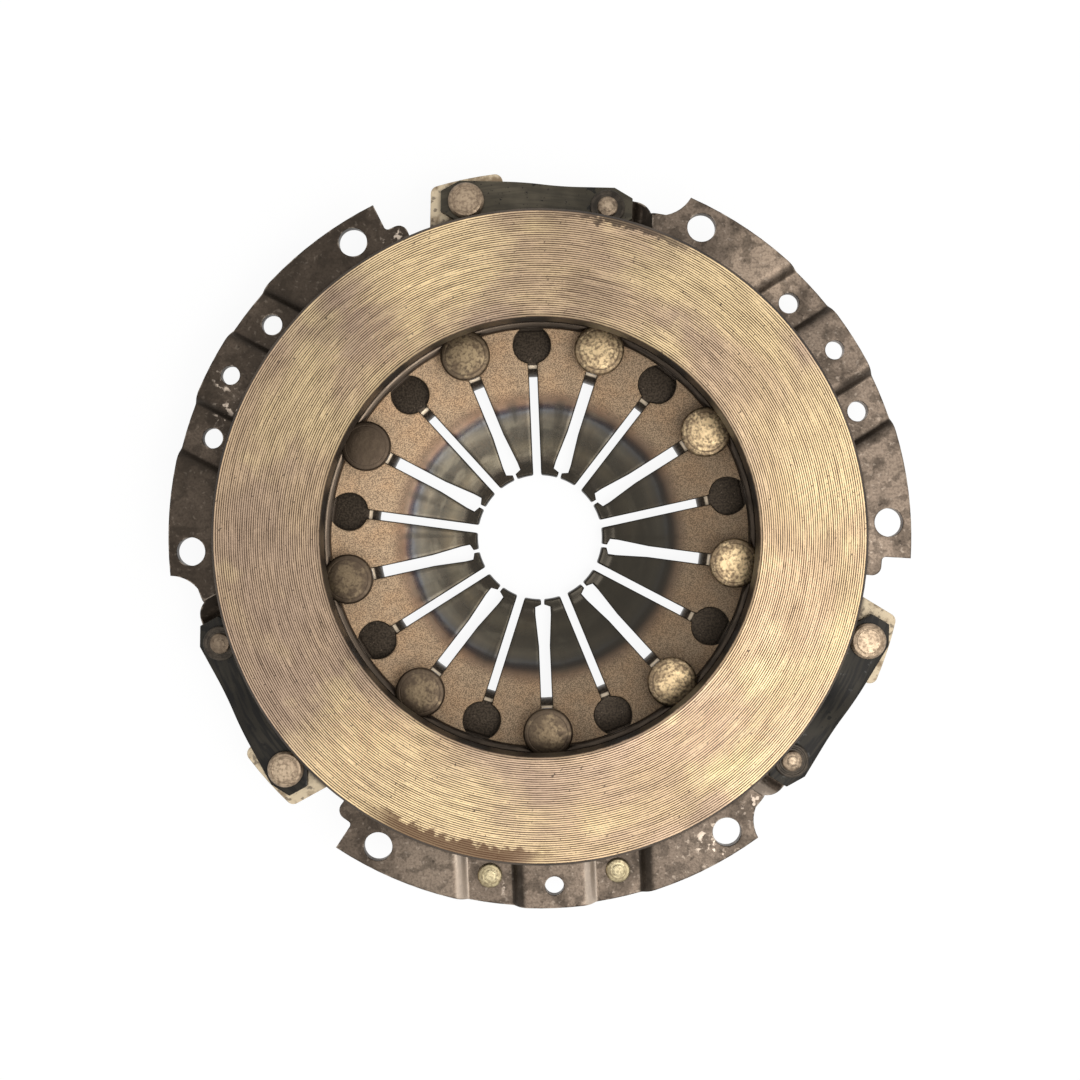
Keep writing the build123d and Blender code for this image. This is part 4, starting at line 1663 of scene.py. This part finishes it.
@dataclass
class StrapPacks:
    """Three packs of three leaves, bent from the cover's pads up to the lugs."""

    packs: int = 3
    leaves: int = 3
    thickness: float = 0.75 * MM
    width: float = 13.0 * MM
    end: float = 8.0 * MM
    cut_length: float = 5.8 * MM
    cut_width: float = 3.3 * MM
    cover_flat: float = 9.0 * MM
    lug_flat: float = 11.8 * MM
    edge: float = 0.14 * MM
    columns: int = 6
    corner_steps: int = 2
    bend_points: int = 30
    cover_flat_points: int = 5
    lug_flat_points: int = 6
    rivet_head: float = 3.3 * MM
    rivet_shank: float = 2.6 * MM
    rivet_tail: float = 4.6 * MM
    head_height: float = 1.0 * MM
    tail_height: float = 1.8 * MM

    def stations(self, span: float) -> np.ndarray:
        """Places of the rings along a leaf.

        Args:
            span: distance between the leaf's rivets.

        Returns:
            The places, from the rivet on the cover, with both ends.
        """
        bend_start, bend_end = self.cover_flat, span - self.lug_flat
        cut = self.end - self.cut_length
        marks = [-self.end, -self.end + self.edge, -cut, bend_start, bend_end, span + cut]
        marks += [span + self.end - self.edge, span + self.end]
        flat = np.linspace(-cut, bend_start, self.cover_flat_points)
        bend = np.linspace(bend_start, bend_end, self.bend_points)
        lug_flat = np.linspace(bend_end, span + cut, self.lug_flat_points)
        return np.unique(np.concatenate([marks, bend, flat, lug_flat]))

    def leaf_ring(self, point: Vector, side: Vector, top: float, beyond: float) -> list[tuple]:
        """Points round a leaf's section.

        Args:
            point: middle of the section, seen along the axis.
            side: direction across the leaf.
            top: height of its top face.
            beyond: how far the section is past the nearer rivet.

        Returns:
            The ring's points.
        """
        cut = self.end - self.cut_length
        half = self.width / 2 - self.cut_width * max(0.0, beyond - cut) / self.cut_length
        inset = max(0.0, self.edge - (self.end - beyond))
        ring = []
        for across, corner, down, down_corner in section_loop(self.columns, self.corner_steps):
            out = (half - self.edge - inset) * (2 * across - 1) + corner * self.edge
            depth = self.thickness * down + self.edge * down_corner
            depth = inset + depth * (self.thickness - 2 * inset) / self.thickness
            spot = point + side * out
            ring.append((spot.x, spot.y, top - depth))
        return ring

    def leaf(self, pack: int, layer: int, finish: bpy.types.Material) -> bpy.types.Object:
        """One leaf, bent between the cover and the plate.

        Args:
            pack: the pack's number from one.
            layer: the leaf's number from one, counted from the back.
            finish: its material.

        Returns:
            The leaf.
        """
        node = f"strap_{pack}_leaf_{layer}"
        low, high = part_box(node)
        fixed = middle(f"cover_strap_rivet_{pack}").xy
        way = middle(f"lug_strap_rivet_{pack}").xy - fixed
        span = way.length
        way.normalize()
        side = Vector((-way.y, way.x))
        rise = high.z - low.z - self.thickness
        bend_start, bend_end = self.cover_flat, span - self.lug_flat
        rings = []
        for station in self.stations(span):
            beyond = max(-station, station - span, 0.0)
            share = min(1.0, max(0.0, (station - bend_start) / (bend_end - bend_start)))
            height = 2 * share**2 if share < 0.5 else 1 - 2 * (1 - share) ** 2
            top = low.z + self.thickness + rise * height
            rings.append(self.leaf_ring(fixed + way * station, side, top, beyond))
        piece = lofted(f"strap_{pack}_steel_{layer}", np.array(rings))
        piece.data.materials.append(finish)
        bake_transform(piece)
        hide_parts(node)
        return piece

    def rivets(self) -> bpy.types.Object:
        """Rivets at the fixed ends.

        Returns:
            The rivets.
        """
        steel = PressedHead(
            "strap_rivet_steel",
            base=(0.38, 0.286, 0.198),
            light=(0.54, 0.415, 0.29),
            dark=(0.12, 0.086, 0.058),
            crown_radius=1.8 * MM,
            ring_pitch=1.1 * MM,
            shade_angle=191.0,
            shade=0.62,
        )
        nodes = numbered("cover_strap_rivet", self.packs)
        rivets = RivetSet.at(
            nodes,
            self.head_height,
            self.tail_height,
            head_radius=self.rivet_head,
            head_edge=0.4 * MM,
            ring_share=0.5,
            shoulder_radius=self.rivet_shank,
            tail_radius=self.rivet_tail,
        )
        piece = rivets.make("strap_rivets", steel.build())
        return fitted(piece, nodes, Body.COVER)

    def washers(self) -> bpy.types.Object:
        """Washers round the rivets at the fixed ends.

        Returns:
            The washers.
        """
        steel = PressedHead(
            "washer_steel",
            base=(0.070, 0.056, 0.042),
            light=(0.085, 0.068, 0.050),
            dark=(0.030, 0.024, 0.018),
            crown_radius=1.0 * MM,
            ring_pitch=1.0 * MM,
        )
        under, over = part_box("strap_washer_1")
        washers = WasherSet(
            **WasherSet.spread(numbered("cover_strap_rivet", self.packs)),
            bore_radius=self.rivet_shank,
            washer_radius=(over.x - under.x) / 2,
            low=under.z,
            high=over.z,
            rounding=0.15 * MM,
        )
        piece = washers.make("strap_washers", steel.build())
        return fitted(piece, numbered("strap_washer", self.packs), Body.COVER)

    def build(self) -> list[bpy.types.Object]:
        """Makes the leaves and their fixings on the cover.

        Returns:
            The pieces.
        """
        finish = StrapSteel().build()
        packs = range(1, self.packs + 1)
        layers = range(1, self.leaves + 1)
        leaves = [self.leaf(pack, layer, finish) for pack in packs for layer in layers]
        return leaves + [self.rivets(), self.washers()]


@dataclass
class CoverFixings:
    """Cover sheet, wire rings and the rivets that stay on the cover."""

    fulcrum_rivets: int = 9
    sheet: float = 3.2 * MM
    head_radius: float = 8.0 * MM
    head_height: float = 2.9 * MM
    shoulder_radius: float = 4.5 * MM
    shank_radius: float = 3.3 * MM
    tail_radius: float = 5.0 * MM
    tail_height: float = 2.2 * MM
    balance_head: float = 3.9 * MM
    balance_shank: float = 3.2 * MM
    balance_tail: float = 4.6 * MM
    balance_head_height: float = 1.2 * MM
    balance_tail_height: float = 1.6 * MM

    def sheet_and_rings(self, nodes: dict[str, bpy.types.Object]) -> list[bpy.types.Object]:
        """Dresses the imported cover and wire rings.

        Args:
            nodes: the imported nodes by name.

        Returns:
            The dressed nodes.
        """
        sheet = StampedSheet().build()
        wire = DrawnWire().build()
        finishes = {"cover": sheet, "front_fulcrum_ring": wire, "back_fulcrum_ring": wire}
        for node, finish in finishes.items():
            nodes[node].data.materials.clear()
            nodes[node].data.materials.append(finish)
        return [nodes[node] for node in finishes]

    def large_rivets(self) -> bpy.types.Object:
        """Rivets that hold the rings and the spring.

        Returns:
            The rivets.
        """
        steel = PressedHead(
            "fulcrum_rivet_steel",
            base=(0.36, 0.255, 0.148),
            light=(0.83, 0.620, 0.353),
            dark=(0.10, 0.068, 0.042),
            crown_radius=6.4 * MM,
            ring_pitch=2.4 * MM,
            grey_angle=150.0,
            dome=0.13 * MM,
        )
        nodes = numbered("fulcrum_rivet", self.fulcrum_rivets)
        rivets = RivetSet.at(
            nodes,
            self.head_height,
            self.tail_height,
            foot=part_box(nodes[0])[0].z + self.tail_height + self.sheet,
            head_radius=self.head_radius,
            head_edge=0.5 * MM,
            crown=0.25 * MM,
            ring_share=0.8,
            ring_depth=0.08 * MM,
            shoulder_radius=self.shoulder_radius,
            shank_radius=self.shank_radius,
            tail_radius=self.tail_radius,
            rounding=0.35 * MM,
            segments=72,
        )
        piece = rivets.make("fulcrum_rivets", steel.build())
        return fitted(piece, nodes, Body.COVER)

    def balance_rivets(self) -> bpy.types.Object:
        """The two rivets in the sunk pads of one segment.

        Returns:
            The rivets.
        """
        steel = PressedHead(
            "balance_rivet_steel",
            base=(0.50, 0.42, 0.25),
            light=(0.68, 0.58, 0.36),
            dark=(0.22, 0.17, 0.10),
            crown_radius=2.6 * MM,
            ring_pitch=1.3 * MM,
        )
        nodes = numbered("balance_rivet", 2)
        angles = [bearing(middle(node)) for node in nodes]
        rivets = RivetSet.at(
            nodes,
            self.balance_head_height,
            self.balance_tail_height,
            step_angle=angles[1] - angles[0],
            head_radius=self.balance_head,
            head_edge=0.45 * MM,
            ring_share=0.5,
            shoulder_radius=self.balance_shank,
            tail_radius=self.balance_tail,
        )
        piece = rivets.make("balance_rivets", steel.build())
        return fitted(piece, nodes, Body.COVER)

    def build(self, nodes: dict[str, bpy.types.Object]) -> list[bpy.types.Object]:
        """Dresses the cover and makes its rivets."""
        return self.sheet_and_rings(nodes) + [self.large_rivets(), self.balance_rivets()]


@dataclass
class Studio:
    """White floor, one soft lamp, plain surroundings and the camera of the reference view."""

    frame_pixels: float = 1080.0
    focal_pixels: float = 1340.0
    camera_height: float = 0.422
    axis_above_centre: float = 3.0
    roll: float = -2.4
    sensor: float = 36.0
    floor_half: float = 4.0
    floor_gap: float = 0.02 * MM
    floor_grey: float = 0.85
    floor_glow: float = 1.08
    glow_share: float = 0.85
    key_side: float = -36.0
    key_tilt: float = 20.0
    key_distance: float = 1.0
    key_size: float = 0.45
    key_power: float = 2.5
    key_colour: Colour = (1.0, 0.98, 0.95)
    dim: float = 0.11
    bright: float = 1.15
    dim_end: float = -0.45
    bright_end: float = 0.55

    def camera(self) -> None:
        """Camera straight above the friction face."""
        data = bpy.data.cameras.new("camera")
        data.sensor_width = self.sensor
        data.lens = self.focal_pixels / self.frame_pixels * self.sensor
        data.clip_start = 10.0 * MM
        camera = bpy.data.objects.new("camera", data)
        offset = self.axis_above_centre / self.focal_pixels * self.camera_height
        camera.location = (0.0, -offset, self.camera_height)
        camera.rotation_euler = Euler((0.0, 0.0, math.radians(self.roll)))
        bpy.context.scene.collection.objects.link(camera)
        bpy.context.scene.camera = camera

    def key_lamp(self) -> None:
        """Square soft lamp just beside the camera, over the part's lower right."""
        data = bpy.data.lights.new("key", "AREA")
        data.size = self.key_size
        data.energy = self.key_power
        data.color = self.key_colour
        lamp = bpy.data.objects.new("key", data)
        tilt = math.radians(self.key_tilt)
        place = polar(math.sin(tilt), self.key_side, math.cos(tilt)) * self.key_distance
        lamp.location = place
        lamp.rotation_euler = (-place).to_track_quat("-Z", "Y").to_euler()
        bpy.context.scene.collection.objects.link(lamp)

    def surroundings(self) -> None:
        """Plain world that is white to the camera and brighter towards the lamp's side."""
        world = bpy.data.worlds.new("studio")
        world.use_nodes = True
        bpy.context.scene.world = world
        g = Graph(world.node_tree)
        x, y, _ = g.parts(g.out(g.node("ShaderNodeTexCoord"), "Generated"))
        way = polar(1.0, self.key_side)
        side = x * way.x + y * way.y
        shade = g.step(side, self.dim_end, self.bright_end, self.dim, self.bright)
        seen = g.background_rays()
        strength = shade * (1.0 - seen) + seen
        background = g.add("ShaderNodeBackground", {"Color": WHITE, "Strength": strength})
        g.node("ShaderNodeOutputWorld", {"Surface": background})

    def floor(self) -> None:
        """White floor that the part lies on, with the part's shadow."""
        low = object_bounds()[0].z - self.floor_gap
        half = self.floor_half
        points = [(-half, -half, low), (half, -half, low), (half, half, low), (-half, half, low)]
        mesh = bpy.data.meshes.new("floor")
        mesh.from_pydata(points, [], [(0, 1, 2, 3)])
        material = bpy.data.materials.new("floor_paint")
        material.use_nodes = True
        g = Graph(material.node_tree)
        grey = (self.floor_grey, self.floor_grey, self.floor_grey, 1.0)
        paint = g.add("ShaderNodeBsdfDiffuse", {"Color": grey})
        glow = g.add("ShaderNodeEmission", {"Color": WHITE, "Strength": self.floor_glow})
        share = g.background_rays() * self.glow_share
        mixed = g.add("ShaderNodeMixShader", {0: share, 1: paint, 2: glow})
        g.node("ShaderNodeOutputMaterial", {"Surface": mixed})
        mesh.materials.append(material)
        floor = linked("floor", mesh)
        floor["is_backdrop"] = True

    def build(self) -> None:
        """Makes the camera, world, lamp and floor."""
        bpy.context.scene.view_settings.view_transform = "Standard"
        self.camera()
        self.surroundings()
        self.key_lamp()
        self.floor()


def main() -> None:
    """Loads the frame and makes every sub-assembly."""
    logging.basicConfig(level=logging.INFO, format="%(name)s: %(message)s")
    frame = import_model()
    pieces = PlateCasting().build()
    pieces += DiaphragmSpring().build()
    pieces += StrapPacks().build()
    pieces += CoverFixings().build(frame["nodes"])
    for piece in pieces:
        log.info("%s: %d faces", piece.name, len(piece.data.polygons))
    Studio().build()


if __name__ == "__main__":
    main()
